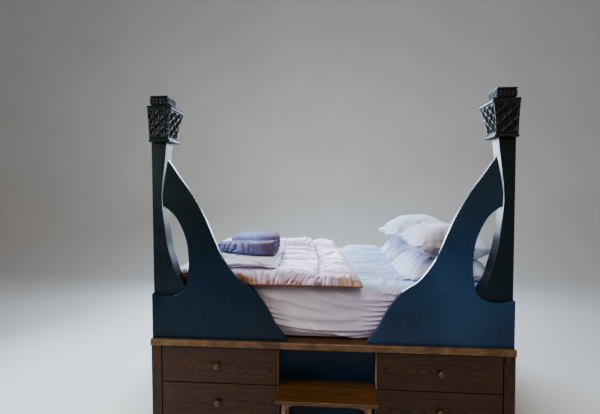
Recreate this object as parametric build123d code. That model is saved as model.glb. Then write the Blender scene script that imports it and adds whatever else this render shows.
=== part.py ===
from build123d import *
import os

os.makedirs("parts", exist_ok=True)

# Built-in cabin bed: a bed alcove with a deck across the cabin, two swooping
# side panels with a leaf opening each, posts with carved capitals, two stacks
# of drawers with a step in the recess between them, and the bedding.
# Millimetres. X runs along the front, +Y runs from front to back, +Z is up.
# Depths are written from the panels' front face and shifted by DEPTH_MID, so
# that the origin is at the middle of the footprint, on the floor.

# ---- driving dimensions -------------------------------------------------
HALF_W = 1020.0          # 2040 over all
DEPTH = 1600.0           # from the panels' front face to the back of the bed
STEP_FRONT = -170.0      # front of the step
DEPTH_MID = (STEP_FRONT + DEPTH) / 2.0

PANEL_T = 28.0           # swooping side panel
PANEL_ROUND = 4.0        # rounded arrises
POST_ROUND = 3.0
POST_Y0, POST_Y1 = 28.0, 118.0
POST_OUT = 1020.0
CAP_Z0, CAP_Z1 = 1710.0, 1972.0

BOARD_Y0, BOARD_Y1 = -30.0, 125.0
BOARD_Z0, BOARD_Z1 = 530.0, 567.0
DECK_Z0 = 547.0          # slats lie between this and BOARD_Z1
SLAT_W, SLAT_PITCH, SLAT_N = 100.0, 145.0, 10

PLY = 18.0
GABLE_IN = 281.0         # recess side of the inner gables
GABLE_OUT = 957.0        # drawer side of the outer gables
CARCASS_Y0 = 5.0         # front edges of the carcass
CARCASS_Y1 = DEPTH - 18.0

FRONT_T = 18.0
FRONT_X0, FRONT_X1 = 283.0, 957.0
FRONT_Z = {"lower": (108.0, 314.0), "upper": (319.0, 525.0)}
BOX_X0, BOX_X1 = 312.0, 944.0
BOX_DEPTH, BOX_SIDE, BOX_BOTTOM = 500.0, 12.0, 9.0
KNOB_X = 626.0
KNOB_Z = {"lower": 205.0, "upper": 420.0}
KNOB_R = 17.0

RECESS_Y0 = 80.0
STEP_Z, STEP_T, STEP_HALF = 310.0, 20.0, 272.0

MATTRESS_Y0, MATTRESS_Y1, MATTRESS_Z1 = 121.0, 1580.0, 820.0
DUVET_Z1 = 885.0
QUILT_Z1 = 945.0


# ---- helpers -------------------------------------------------------------
def block(x0, x1, y0, y1, z0, z1, r=0.0):
    """Box from its corners, with its depth from the panels' front face."""
    solid = Pos((x0 + x1) / 2, (y0 + y1) / 2 - DEPTH_MID, (z0 + z1) / 2) * Box(
        abs(x1 - x0), abs(y1 - y0), abs(z1 - z0)
    )
    if r > 0:
        solid = fillet(solid.edges(), r)
    return solid


def face_at(edges, y):
    """Face from edges drawn as (x, z) point lists, at one depth."""
    made = []
    for kind, points in edges:
        p = [Vector(x, y - DEPTH_MID, z) for x, z in points]
        if kind == "line":
            made += [Edge.make_line(a, b) for a, b in zip(p, p[1:])]
        else:
            made.append(Edge.make_spline(p))
    return Face(Wire(made))


def plate(edges, y0, y1):
    return extrude(face_at(edges, y0), amount=y1 - y0, dir=(0, 1, 0))


def free_edges(face):
    """The edges of a face that meet neither the board, the capital nor the outer side."""
    kept = []
    for edge in face.edges():
        c = edge.center()
        if abs(c.Z - BOARD_Z1) > 0.5 and abs(c.X - HALF_W) > 0.5 and abs(c.Z - CAP_Z0) > 0.5:
            kept.append(edge)
    return kept


def flat_plate(points, z0, z1):
    """Plate from an outline of (x, depth) points."""
    p = [Vector(x, y - DEPTH_MID, z0) for x, y in points]
    wire = Wire([Edge.make_line(a, b) for a, b in zip(p, p[1:] + p[:1])])
    return extrude(Face(wire), amount=z1 - z0, dir=(0, 0, 1))


def mirrored(solid):
    return mirror(solid, about=Plane.YZ)


def save(name, shape):
    export_step(shape, os.path.join("parts", name + ".step"))


def several(solids):
    return Compound(children=list(solids))


def pair(name, solid):
    """The right-hand piece and its mirror image."""
    save("right_" + name, solid)
    save("left_" + name, mirrored(solid))


# ---- carcass ---------------------------------------------------------------
def gable(x0, x1):
    # Lower at the front, where the thick front board lies on it.
    p = [
        (CARCASS_Y0, 0.0),
        (CARCASS_Y1, 0.0),
        (CARCASS_Y1, DECK_Z0),
        (BOARD_Y1, DECK_Z0),
        (BOARD_Y1, BOARD_Z0),
        (CARCASS_Y0, BOARD_Z0),
    ]
    v = [Vector(x0, y - DEPTH_MID, z) for y, z in p]
    wire = Wire([Edge.make_line(a, b) for a, b in zip(v, v[1:] + v[:1])])
    return extrude(Face(wire), amount=x1 - x0, dir=(1, 0, 0))


pair("outer_gable", gable(GABLE_OUT, GABLE_OUT + PLY))
pair("inner_gable", gable(GABLE_IN, GABLE_IN + PLY))

kick = block(GABLE_IN + PLY, GABLE_OUT, 35.0, 35.0 + PLY, 0.0, 98.0)
save("kick_boards", several([kick, mirrored(kick)]))

save("recess_panel", block(-GABLE_IN, GABLE_IN, RECESS_Y0, RECESS_Y0 + PLY, 0.0, BOARD_Z0))

# Scribe stiles at the outer sides of the drawers.
pair("stile", block(962.0, HALF_W, -FRONT_T, CARCASS_Y0, 0.0, BOARD_Z0))

board = block(-HALF_W, HALF_W, BOARD_Y0, BOARD_Y1, BOARD_Z0, BOARD_Z1)
board = fillet(board.edges().filter_by(Axis.X).group_by(Axis.Y)[0], 5.0)
save("front_board", board)

save("back_rail", block(-1000.0, 1000.0, CARCASS_Y1, DEPTH, 400.0, BOARD_Z1))

first = BOARD_Y1 + 12.0
save(
    "deck_slats",
    several(
        block(
            -1000.0,
            1000.0,
            first + i * SLAT_PITCH,
            first + i * SLAT_PITCH + SLAT_W,
            DECK_Z0,
            BOARD_Z1,
        )
        for i in range(SLAT_N)
    ),
)

# Slide rails on the gables, four pairs.
rails = []
for z0, z1 in FRONT_Z.values():
    zc = (z0 + z1) / 2
    a = block(GABLE_IN + PLY, GABLE_IN + PLY + 7.5, 12.0, 492.0, zc - 17.0, zc + 17.0)
    b = block(GABLE_OUT - 7.5, GABLE_OUT, 12.0, 492.0, zc - 17.0, zc + 17.0)
    rails += [a, b, mirrored(a), mirrored(b)]
save("drawer_rails", several(rails))


# ---- drawers ---------------------------------------------------------------
def knob(z):
    # Turned mushroom knob: a foot, a waist and a domed head.
    pts = [
        (0.0, 0.0),
        (9.0, 0.0),
        (9.0, 2.0),
        (6.0, 5.0),
        (6.0, 10.0),
        (12.0, 13.5),
        (KNOB_R, 17.0),
    ]
    v = [Vector(r, 0, h) for r, h in pts]
    edges = [Edge.make_line(a, b) for a, b in zip(v, v[1:])]
    dome = [(KNOB_R, 17.0), (16.0, 21.5), (11.0, 26.0), (0.0, 28.0)]
    edges.append(Edge.make_spline([Vector(r, 0, h) for r, h in dome]))
    edges.append(Edge.make_line(Vector(0, 0, 28.0), Vector(0, 0, 0)))
    body = revolve(Face(Wire(edges)), Axis.Z, 360)
    body = Rot(90, 0, 0) * body
    return Pos(KNOB_X, -FRONT_T - DEPTH_MID, z) * body


for level, (z0, z1) in FRONT_Z.items():
    front = block(FRONT_X0, FRONT_X1, -FRONT_T, 0.0, z0, z1)
    front = fillet(front.faces().sort_by(Axis.Y)[0].edges(), 2.0)
    save("right_" + level + "_drawer_front", front)
    save("left_" + level + "_drawer_front", mirrored(front))

    b0, b1 = z0 + 16.0, z1 - 25.0
    outer = block(BOX_X0, BOX_X1, 0.0, BOX_DEPTH, b0, b1)
    inner = block(
        BOX_X0 + BOX_SIDE,
        BOX_X1 - BOX_SIDE,
        BOX_SIDE,
        BOX_DEPTH - BOX_SIDE,
        b0 + BOX_BOTTOM,
        b1 + 20.0,
    )
    box = outer - inner
    save("right_" + level + "_drawer_box", box)
    save("left_" + level + "_drawer_box", mirrored(box))

    k = knob(KNOB_Z[level])
    save("right_" + level + "_knob", k)
    save("left_" + level + "_knob", mirrored(k))

# ---- side panels -------------------------------------------------------------
SWOOP = [
    (913, 1609), (880, 1562), (838, 1500), (787, 1430), (746, 1360), (707, 1290),
    (675, 1220), (646, 1150), (621, 1090), (592, 1030), (558, 980), (526, 940),
    (487, 905),
]
LOBE = [
    (487, 905), (446, 881), (420, 861), (392, 830), (369, 799), (342, 760),
    (320, 720), (300, 680), (276, 642), (251, 610), (233, 585), (220, 567),
]
LEAF = [
    (824, 856), (812, 890), (805, 922), (799, 966), (797, 1021), (799, 1059),
    (803, 1103), (810, 1141), (820, 1174), (835, 1212), (855, 1252), (880, 1289),
    (906, 1314), (934, 1334),
]
TIP_EDGE = [
    (947, 1336), (949, 1374), (947, 1428), (942, 1460), (937, 1492), (931, 1524),
    (925, 1556), (919, 1586), (913, 1609),
]
panel_edges = [
    ("curve", SWOOP),
    ("curve", LOBE),
    ("line", [(220, 567), (HALF_W, 567), (HALF_W, 826)]),
    ("curve", [(HALF_W, 826), (970, 812), (910, 813), (860, 829), (824, 856)]),
    ("curve", LEAF),
    ("line", [(934, 1334), (947, 1336)]),
    ("curve", TIP_EDGE),
]
panel = plate(panel_edges, 0.0, PANEL_T)
faces = panel.faces().sort_by(Axis.Y)
panel = fillet(free_edges(faces[0]) + free_edges(faces[-1]), PANEL_ROUND)
pair("panel", panel)

# ---- posts ---------------------------------------------------------------
# The inner side is straight under the capital, hollow at the waist, and
# flares into a thick curved foot, which closes the leaf opening.
POST_CURVE = [
    (932, 1698), (936, 1660), (941, 1617), (947, 1574), (956, 1510), (963, 1450),
    (966, 1390), (964, 1335), (959, 1285), (950, 1212), (936, 1105), (914, 1025),
    (886, 933), (866, 894), (842, 863), (812, 838),
]
post_edges = [
    ("line", [(POST_OUT, 1710), (932, 1710), (932, 1698)]),
    ("curve", POST_CURVE),
    ("line", [(812, 838), (820, 800), (864, 740), (884, 567), (POST_OUT, 567), (POST_OUT, 1710)]),
]
post = plate(post_edges, POST_Y0, POST_Y1)
faces = post.faces().sort_by(Axis.Y)
post = fillet(free_edges(faces[0]) + free_edges(faces[-1]), POST_ROUND)
pair("post", post)


# ---- capitals --------------------------------------------------------------
def rect(x0, x1, y0, y1, z):
    p = [Vector(x, y - DEPTH_MID, z) for x, y in ((x0, y0), (x1, y0), (x1, y1), (x0, y1))]
    return Face(Wire([Edge.make_line(a, b) for a, b in zip(p, p[1:] + p[:1])]))


ledge = block(893, HALF_W, -12, 142, CAP_Z0, 1726)
bell = loft(
    [
        rect(904, HALF_W, -2, 118, 1726),
        rect(900, HALF_W, -6, 134, 1790),
        rect(892, HALF_W, -13, 160, 1852),
        rect(877, HALF_W, -26, 182, 1906),
    ]
)
abacus = block(877, HALF_W, -26, 182, 1906, 1914)
top_block = block(902, 1006, -10, 104, 1914, CAP_Z1)
pair("capital", ledge + bell + abacus + top_block)

# ---- step ------------------------------------------------------------------
top = block(-STEP_HALF, STEP_HALF, STEP_FRONT, RECESS_Y0, STEP_Z - STEP_T, STEP_Z)
top = fillet(top.edges().filter_by(Axis.X).group_by(Axis.Y)[0], 4.0)
save("step_top", top)

legs = []
for s in (-1, 1):
    for y0, y1 in ((-150.0, -130.0), (40.0, 60.0)):
        legs.append(block(s * 238.0, s * 218.0, y0, y1, 0.0, STEP_Z - STEP_T))
save("step_legs", several(legs))

zt = STEP_Z - STEP_T
apron_edges = [
    ("line", [(-218, zt - 38), (-218, zt), (218, zt), (218, zt - 38)]),
    ("curve", [(218, zt - 38), (196, zt - 20), (150, zt - 11), (0, zt - 9), (-150, zt - 11), (-196, zt - 20), (-218, zt - 38)]),
]
front_apron = plate(apron_edges, -148.0, -132.0)
side_l = block(-236, -220, -130, 40, zt - 40, zt)
side_r = block(220, 236, -130, 40, zt - 40, zt)
save("step_rails", several([front_apron, side_l, side_r]))

# ---- mattress and bedding -----------------------------------------------------
save(
    "mattress",
    block(-1000, 1000, MATTRESS_Y0, MATTRESS_Y1, BOARD_Z1, MATTRESS_Z1),
)

# The duvet lies over the mattress and hangs to the board between the panels.
duvet_top = block(-1000, 1000, MATTRESS_Y0, 1590, MATTRESS_Z1, DUVET_Z1)
duvet_drop = block(-790, 790, 50, MATTRESS_Y0, BOARD_Z1 + 1, DUVET_Z1)
save("duvet", duvet_top + duvet_drop)

quilt_outline = [
    (-985, 124), (-852, 124), (-852, 33), (196, 33), (75, 1500), (-985, 1500),
]
save("quilt", flat_plate(quilt_outline, DUVET_Z1, QUILT_Z1))

save("folded_sheet", block(-850, -312, 200, 1045, QUILT_Z1, 1008, 12))
save("front_towel", block(-712, -332, 262, 610, 1008, 1102, 18))
save("back_towel", block(-730, -350, 650, 1045, 1008, 1102, 18))

save("front_lower_pillow", block(440, 1000, 140, 845, DUVET_Z1, 1035, 40))
save("front_upper_pillow", block(500, 1000, 150, 830, 1036, 1200, 40))
save("back_lower_pillow", block(455, 1000, 865, 1560, DUVET_Z1, 1050, 40))
save("back_upper_pillow", block(455, 1000, 870, 1550, 1051, 1225, 40))

print("built")
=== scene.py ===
import bpy
import bmesh
import math
import numpy as np
from mathutils import Vector, Matrix


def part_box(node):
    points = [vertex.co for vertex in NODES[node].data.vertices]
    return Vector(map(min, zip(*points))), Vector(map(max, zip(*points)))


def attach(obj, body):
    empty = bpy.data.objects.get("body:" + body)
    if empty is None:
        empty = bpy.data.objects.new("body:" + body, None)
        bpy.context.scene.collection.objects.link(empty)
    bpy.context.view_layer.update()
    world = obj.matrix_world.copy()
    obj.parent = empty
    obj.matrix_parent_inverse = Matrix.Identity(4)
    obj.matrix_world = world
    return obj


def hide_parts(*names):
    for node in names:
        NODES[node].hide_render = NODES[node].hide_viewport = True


# Built-in cabin bed with its bedding. Everything is in metres, in the frame's
# own axes: X along the front, +Y from front to back, +Z up. Depths are often
# written from the side panels' front face and shifted by MID.

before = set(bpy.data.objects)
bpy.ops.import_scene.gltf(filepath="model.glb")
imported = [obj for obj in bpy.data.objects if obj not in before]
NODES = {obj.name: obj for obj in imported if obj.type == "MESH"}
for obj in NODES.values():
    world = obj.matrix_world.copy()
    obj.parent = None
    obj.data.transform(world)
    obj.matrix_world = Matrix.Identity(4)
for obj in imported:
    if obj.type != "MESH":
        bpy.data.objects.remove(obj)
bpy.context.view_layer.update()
MID = 0.715
BED = "bed"
scene = bpy.context.scene


# ---------------------------------------------------------------- camera ----
PSI, THETA, ROLL = 0.08674, -0.03888, -0.0028
right0 = Vector((math.cos(PSI), math.sin(PSI), 0.0))
ahead = Vector((-math.sin(PSI) * math.cos(THETA), math.cos(PSI) * math.cos(THETA), math.sin(THETA)))
up0 = right0.cross(ahead)
right = math.cos(ROLL) * right0 + math.sin(ROLL) * up0
up = math.cos(ROLL) * up0 - math.sin(ROLL) * right0
cam_data = bpy.data.cameras.new("camera")
cam_data.lens = 23.184
cam_data.sensor_width = 36.0
cam_data.clip_start = 0.05
cam_data.clip_end = 60.0
camera = bpy.data.objects.new("camera", cam_data)
scene.collection.objects.link(camera)
m = Matrix.Identity(4)
for i in range(3):
    m[i][0], m[i][1], m[i][2] = right[i], up[i], -ahead[i]
m[0][3], m[1][3], m[2][3] = 0.04023, -2.87565, 1.42
camera.matrix_world = m
scene.camera = camera


# ---------------------------------------------------------------- helpers ---
def lin(r, g, b):
    """Linear colour from 0-255 display values."""
    def one(v):
        v /= 255.0
        return v / 12.92 if v <= 0.04045 else ((v + 0.055) / 1.055) ** 2.4
    return (one(r), one(g), one(b), 1.0)


def smooth(a, b, x):
    t = np.clip((x - a) / (b - a), 0.0, 1.0)
    return t * t * (3.0 - 2.0 * t)


def _hash(i, j, seed):
    n = (i.astype(np.int64) * 374761393 + j.astype(np.int64) * 668265263 + seed * 974634777) & 0xFFFFFFFF
    n = ((n ^ (n >> 13)) * 1274126177) & 0xFFFFFFFF
    return ((n ^ (n >> 16)) & 0xFFFF) / 65535.0


def noise2(x, y, seed=0):
    """Smooth value noise, -1 to 1."""
    x, y = np.broadcast_arrays(np.asarray(x, float), np.asarray(y, float))
    i, j = np.floor(x), np.floor(y)
    fx, fy = x - i, y - j
    fx, fy = fx * fx * fx * (fx * (fx * 6 - 15) + 10), fy * fy * fy * (fy * (fy * 6 - 15) + 10)
    a, b = _hash(i, j, seed), _hash(i + 1, j, seed)
    c, d = _hash(i, j + 1, seed), _hash(i + 1, j + 1, seed)
    return 2.0 * ((a * (1 - fx) + b * fx) * (1 - fy) + (c * (1 - fx) + d * fx) * fy) - 1.0


def fractal(x, y, seed=0, octaves=3, gain=0.5):
    total, amp, norm = 0.0, 1.0, 0.0
    for k in range(octaves):
        total = total + amp * noise2(np.asarray(x) * 2 ** k + 17.3 * k, np.asarray(y) * 2 ** k - 9.1 * k, seed + k)
        norm += amp
        amp *= gain
    return total / norm


def spline(points, n):
    """n points along a Catmull-Rom curve through the given points, evenly spaced."""
    p = np.array(points, float)
    ext = np.vstack([2 * p[0] - p[1], p, 2 * p[-1] - p[-2]])
    out = []
    for k in range(1, len(ext) - 2):
        t = np.linspace(0, 1, 24, endpoint=False)[:, None]
        a, b, c, d = ext[k - 1], ext[k], ext[k + 1], ext[k + 2]
        out.append(0.5 * ((2 * b) + (c - a) * t + (2 * a - 5 * b + 4 * c - d) * t ** 2 + (3 * b - a - 3 * c + d) * t ** 3))
    line = np.vstack(out + [p[-1:]])
    s = np.concatenate([[0], np.cumsum(np.linalg.norm(np.diff(line, axis=0), axis=1))])
    t = np.linspace(0, s[-1], n)
    return np.stack([np.interp(t, s, line[:, i]) for i in range(line.shape[1])], 1)


def make_object(name, verts, faces, uvs=None, mats=(), mat_index=None, shade=True):
    """Mesh object from arrays. uvs is one (u, v) for each vertex, in metres."""
    me = bpy.data.meshes.new(name)
    me.from_pydata([tuple(map(float, v)) for v in verts], [], [tuple(int(i) for i in f) for f in faces])
    if uvs is not None:
        layer = me.uv_layers.new(name="flat")
        idx = np.zeros(len(me.loops), np.int32)
        me.loops.foreach_get("vertex_index", idx)
        layer.data.foreach_set("uv", np.asarray(uvs, np.float32)[idx].ravel())
    for mt in mats:
        me.materials.append(mt)
    if mat_index is not None:
        me.polygons.foreach_set("material_index", np.asarray(mat_index, np.int32))
    me.polygons.foreach_set("use_smooth", np.ones(len(me.polygons), bool) if shade else np.zeros(len(me.polygons), bool))
    me.validate()
    me.update()
    o = bpy.data.objects.new(name, me)
    scene.collection.objects.link(o)
    return o


def outward(o):
    """Makes the faces of a closed mesh look outwards."""
    bm = bmesh.new()
    bm.from_mesh(o.data)
    bmesh.ops.recalc_face_normals(bm, faces=bm.faces)
    if bm.calc_volume(signed=True) < 0:
        bmesh.ops.reverse_faces(bm, faces=bm.faces)
    bm.to_mesh(o.data)
    bm.free()
    o.data.update()
    return o


def add_modifier(o, kind, **values):
    md = o.modifiers.new(kind.lower(), kind)
    for k, v in values.items():
        setattr(md, k, v)
    return md


def bake_modifiers(o):
    """Replaces the object's mesh by its evaluated one, with no modifiers left."""
    dg = bpy.context.evaluated_depsgraph_get()
    me = bpy.data.meshes.new_from_object(o.evaluated_get(dg), depsgraph=dg)
    old = o.data
    o.modifiers.clear()
    o.data = me
    if old.users == 0:
        bpy.data.meshes.remove(old)
    return o


def join(objs, name):
    """Joins objects into the first one."""
    base = objs[0]
    bm = bmesh.new()
    mats = []
    uv_name = "flat"
    for o in objs:
        remap = []
        for mt in o.data.materials:
            if mt not in mats:
                mats.append(mt)
            remap.append(mats.index(mt))
        tmp = bmesh.new()
        tmp.from_mesh(o.data)
        for f in tmp.faces:
            f.material_index = remap[f.material_index] if remap else 0
        piece = bpy.data.meshes.new("tmp")
        tmp.to_mesh(piece)
        tmp.free()
        bm.from_mesh(piece)
        bpy.data.meshes.remove(piece)
    me = bpy.data.meshes.new(name)
    bm.to_mesh(me)
    bm.free()
    for mt in mats:
        me.materials.append(mt)
    for o in objs[1:]:
        bpy.data.objects.remove(o)
    old = base.data
    base.data = me
    base.name = name
    if old.users == 0:
        bpy.data.meshes.remove(old)
    return base


def lens_shell(name, top, bottom, uv, mats=(), mat_top=None):
    """Closed shell of two grids (nu, nv, 3) that share their border."""
    nu, nv = top.shape[:2]
    idx_top = np.arange(nu * nv).reshape(nu, nv)
    inner = np.zeros((nu, nv), bool)
    inner[1:-1, 1:-1] = True
    idx_bot = idx_top.copy()
    idx_bot[inner] = nu * nv + np.arange(inner.sum())
    verts = np.vstack([top.reshape(-1, 3), bottom[inner]])
    uvs = np.vstack([uv.reshape(-1, 2), uv[inner]])

    def quads(ix, flip):
        a, b, c, d = ix[:-1, :-1], ix[1:, :-1], ix[1:, 1:], ix[:-1, 1:]
        q = np.stack([a, b, c, d] if not flip else [d, c, b, a], -1).reshape(-1, 4)
        return q
    q1, q2 = quads(idx_top, False), quads(idx_bot, True)
    faces = np.vstack([q1, q2])
    mi = None
    if mat_top is not None:
        mi = np.concatenate([mat_top.reshape(-1), mat_top.reshape(-1)])
    return outward(make_object(name, verts, faces, uvs, mats, mi))


def tube(name, path, radius, mats=(), closed=False, sides=8, radii=None, squash=None):
    """Tube along a line of points, its ends closed."""
    p = np.array(path, float)
    n = len(p)
    if closed:
        t = np.roll(p, -1, 0) - np.roll(p, 1, 0)
    else:
        t = np.gradient(p, axis=0)
    t /= np.linalg.norm(t, axis=1)[:, None] + 1e-12
    ref = np.array([0, 0, 1.0]) if abs(t[0][2]) < 0.9 else np.array([1.0, 0, 0])
    nrm = np.cross(t[0], ref)
    nrm /= np.linalg.norm(nrm)
    frames = []
    for i in range(n):
        nrm = nrm - t[i] * nrm.dot(t[i])
        nrm /= np.linalg.norm(nrm) + 1e-12
        frames.append((nrm.copy(), np.cross(t[i], nrm)))
    a = np.linspace(0, 2 * np.pi, sides, endpoint=False)
    verts, uvs = [], []
    s = 0.0
    for i in range(n):
        r = radius if radii is None else radii[i]
        if i:
            s += np.linalg.norm(p[i] - p[i - 1])
        for k in range(sides):
            verts.append(p[i] + r * (math.cos(a[k]) * frames[i][0] + math.sin(a[k]) * frames[i][1]))
            uvs.append((s, a[k] * radius))
    faces = []
    for i in range(n if closed else n - 1):
        j = (i + 1) % n
        for k in range(sides):
            l = (k + 1) % sides
            faces.append((i * sides + k, i * sides + l, j * sides + l, j * sides + k))
    if not closed:
        faces.append(tuple(range(sides))[::-1])
        faces.append(tuple((n - 1) * sides + k for k in range(sides)))
    return outward(make_object(name, verts, faces, uvs, mats))


# ------------------------------------------------------------- materials ----
class Nodes:
    """Short names for shader nodes."""

    def __init__(self, name):
        self.mat = bpy.data.materials.new(name)
        self.mat.use_nodes = True
        self.t = self.mat.node_tree
        self.t.nodes.clear()
        self.out = self.t.nodes.new("ShaderNodeOutputMaterial")
        self.bsdf = self.t.nodes.new("ShaderNodeBsdfPrincipled")
        self.t.links.new(self.bsdf.outputs[0], self.out.inputs[0])
        self._coords = None

    def new(self, kind, **props):
        n = self.t.nodes.new(kind)
        for k, v in props.items():
            setattr(n, k, v)
        return n

    def link(self, a, b):
        self.t.links.new(a, b)

    def put(self, socket, value):
        if isinstance(value, bpy.types.NodeSocket):
            self.link(value, socket)
        else:
            socket.default_value = value

    def set(self, **values):
        for k, v in values.items():
            self.put(self.bsdf.inputs[k.replace("_", " ")], v)
        return self

    def pos(self):
        if self._coords is None:
            self._coords = self.new("ShaderNodeTexCoord")
        return self._coords.outputs["Object"]

    def uv(self):
        if self._coords is None:
            self._coords = self.new("ShaderNodeTexCoord")
        return self._coords.outputs["UV"]

    def map(self, vec, scale=(1, 1, 1), loc=(0, 0, 0), rot=(0, 0, 0)):
        n = self.new("ShaderNodeMapping")
        self.put(n.inputs["Vector"], vec)
        n.inputs["Location"].default_value = loc
        n.inputs["Rotation"].default_value = rot
        n.inputs["Scale"].default_value = scale
        return n.outputs[0]

    def noise(self, vec, scale, detail=3.0, rough=0.5, distort=0.0, out="Fac"):
        n = self.new("ShaderNodeTexNoise")
        self.put(n.inputs["Vector"], vec)
        n.inputs["Scale"].default_value = scale
        n.inputs["Detail"].default_value = detail
        n.inputs["Roughness"].default_value = rough
        n.inputs["Distortion"].default_value = distort
        return n.outputs[out]

    def voronoi(self, vec, scale, feature="F1", out="Distance", rand=1.0):
        n = self.new("ShaderNodeTexVoronoi", feature=feature)
        self.put(n.inputs["Vector"], vec)
        n.inputs["Scale"].default_value = scale
        n.inputs["Randomness"].default_value = rand
        return n.outputs[out]

    def wave(self, vec, scale, distort=0.0, detail=2.0, dscale=1.0, direction="X", kind="BANDS", profile="SIN"):
        n = self.new("ShaderNodeTexWave", wave_type=kind, wave_profile=profile)
        if kind == "BANDS":
            n.bands_direction = direction
        else:
            n.rings_direction = direction
        self.put(n.inputs["Vector"], vec)
        n.inputs["Scale"].default_value = scale
        n.inputs["Distortion"].default_value = distort
        n.inputs["Detail"].default_value = detail
        n.inputs["Detail Scale"].default_value = dscale
        return n.outputs["Fac"]

    def ramp(self, fac, stops, mode="LINEAR"):
        n = self.new("ShaderNodeValToRGB")
        n.color_ramp.interpolation = mode
        e = n.color_ramp.elements
        while len(e) > 1:
            e.remove(e[-1])
        e[0].position, e[0].color = stops[0][0], stops[0][1]
        for p, c in stops[1:]:
            x = e.new(p)
            x.color = c
        self.put(n.inputs[0], fac)
        return n.outputs[0]

    def grey(self, fac, stops):
        return self.ramp(fac, [(p, (v, v, v, 1)) for p, v in stops])

    def math(self, op, a, b=0.0, c=0.0, clamp=False):
        n = self.new("ShaderNodeMath", operation=op, use_clamp=clamp)
        self.put(n.inputs[0], a)
        self.put(n.inputs[1], b)
        self.put(n.inputs[2], c)
        return n.outputs[0]

    def range(self, v, a, b, c, d):
        n = self.new("ShaderNodeMapRange")
        self.put(n.inputs[0], v)
        for i, x in enumerate((a, b, c, d)):
            n.inputs[i + 1].default_value = x
        return n.outputs[0]

    def mix(self, fac, a, b, blend="MIX"):
        n = self.new("ShaderNodeMix", data_type="RGBA", blend_type=blend)
        self.put(n.inputs[0], fac)
        self.put(n.inputs[6], a)
        self.put(n.inputs[7], b)
        return n.outputs[2]

    def sep(self, vec):
        n = self.new("ShaderNodeSeparateXYZ")
        self.put(n.inputs[0], vec)
        return n.outputs

    def comb(self, x, y, z):
        n = self.new("ShaderNodeCombineXYZ")
        for i, v in enumerate((x, y, z)):
            self.put(n.inputs[i], v)
        return n.outputs[0]

    def add(self, a, b, scale=None):
        n = self.new("ShaderNodeVectorMath", operation="ADD")
        self.put(n.inputs[0], a)
        self.put(n.inputs[1], b)
        return n.outputs[0]

    def scaled(self, a, k):
        n = self.new("ShaderNodeVectorMath", operation="SCALE")
        self.put(n.inputs[0], a)
        self.put(n.inputs[3], k)
        return n.outputs[0]

    def bump(self, height, strength=0.3, distance=0.001, normal=None):
        n = self.new("ShaderNodeBump")
        n.inputs["Strength"].default_value = strength
        n.inputs["Distance"].default_value = distance
        self.put(n.inputs["Height"], height)
        if normal is not None:
            self.put(n.inputs["Normal"], normal)
        self.last = n.outputs[0]
        return n.outputs[0]


def paint(name, dark, light, rough=(0.22, 0.38), along=(1, 1, 1), high=None):
    n = Nodes(name)
    p = n.pos()
    big = n.noise(p, 2.3, 4, 0.55)
    base = n.ramp(big, [(0.32, dark), (0.7, light)])
    if high is not None:
        # Painted reflection: towards the top the coat is shifted to a greener shade, standing in for warm light
        # reflected onto it.
        base = n.mix(n.range(n.sep(p)[2], high[1], high[2], 0.0, 0.75), base, high[0])
        light = n.mix(n.range(n.sep(p)[2], high[1], high[2], 0.0, 0.75), light, high[0])
    strokes = n.noise(n.map(p, along), 42, 5, 0.62)
    fine = n.noise(p, 420, 2, 0.5)
    base = n.mix(n.range(strokes, 0.4, 0.75, 0.0, 0.35), base, light)
    n.set(Base_Color=base, Roughness=n.range(n.noise(p, 9, 5, 0.6), 0.3, 0.7, rough[0], rough[1]))
    h = n.math("ADD", n.math("MULTIPLY", strokes, 1.0), n.math("MULTIPLY", fine, 0.12))
    n.set(Normal=n.bump(h, 0.12, 0.0006))
    n.bsdf.inputs["Coat Weight"].default_value = 0.07
    n.bsdf.inputs["Coat Roughness"].default_value = 0.15
    n.bsdf.inputs["Specular IOR Level"].default_value = 0.32
    return n.mat


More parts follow.
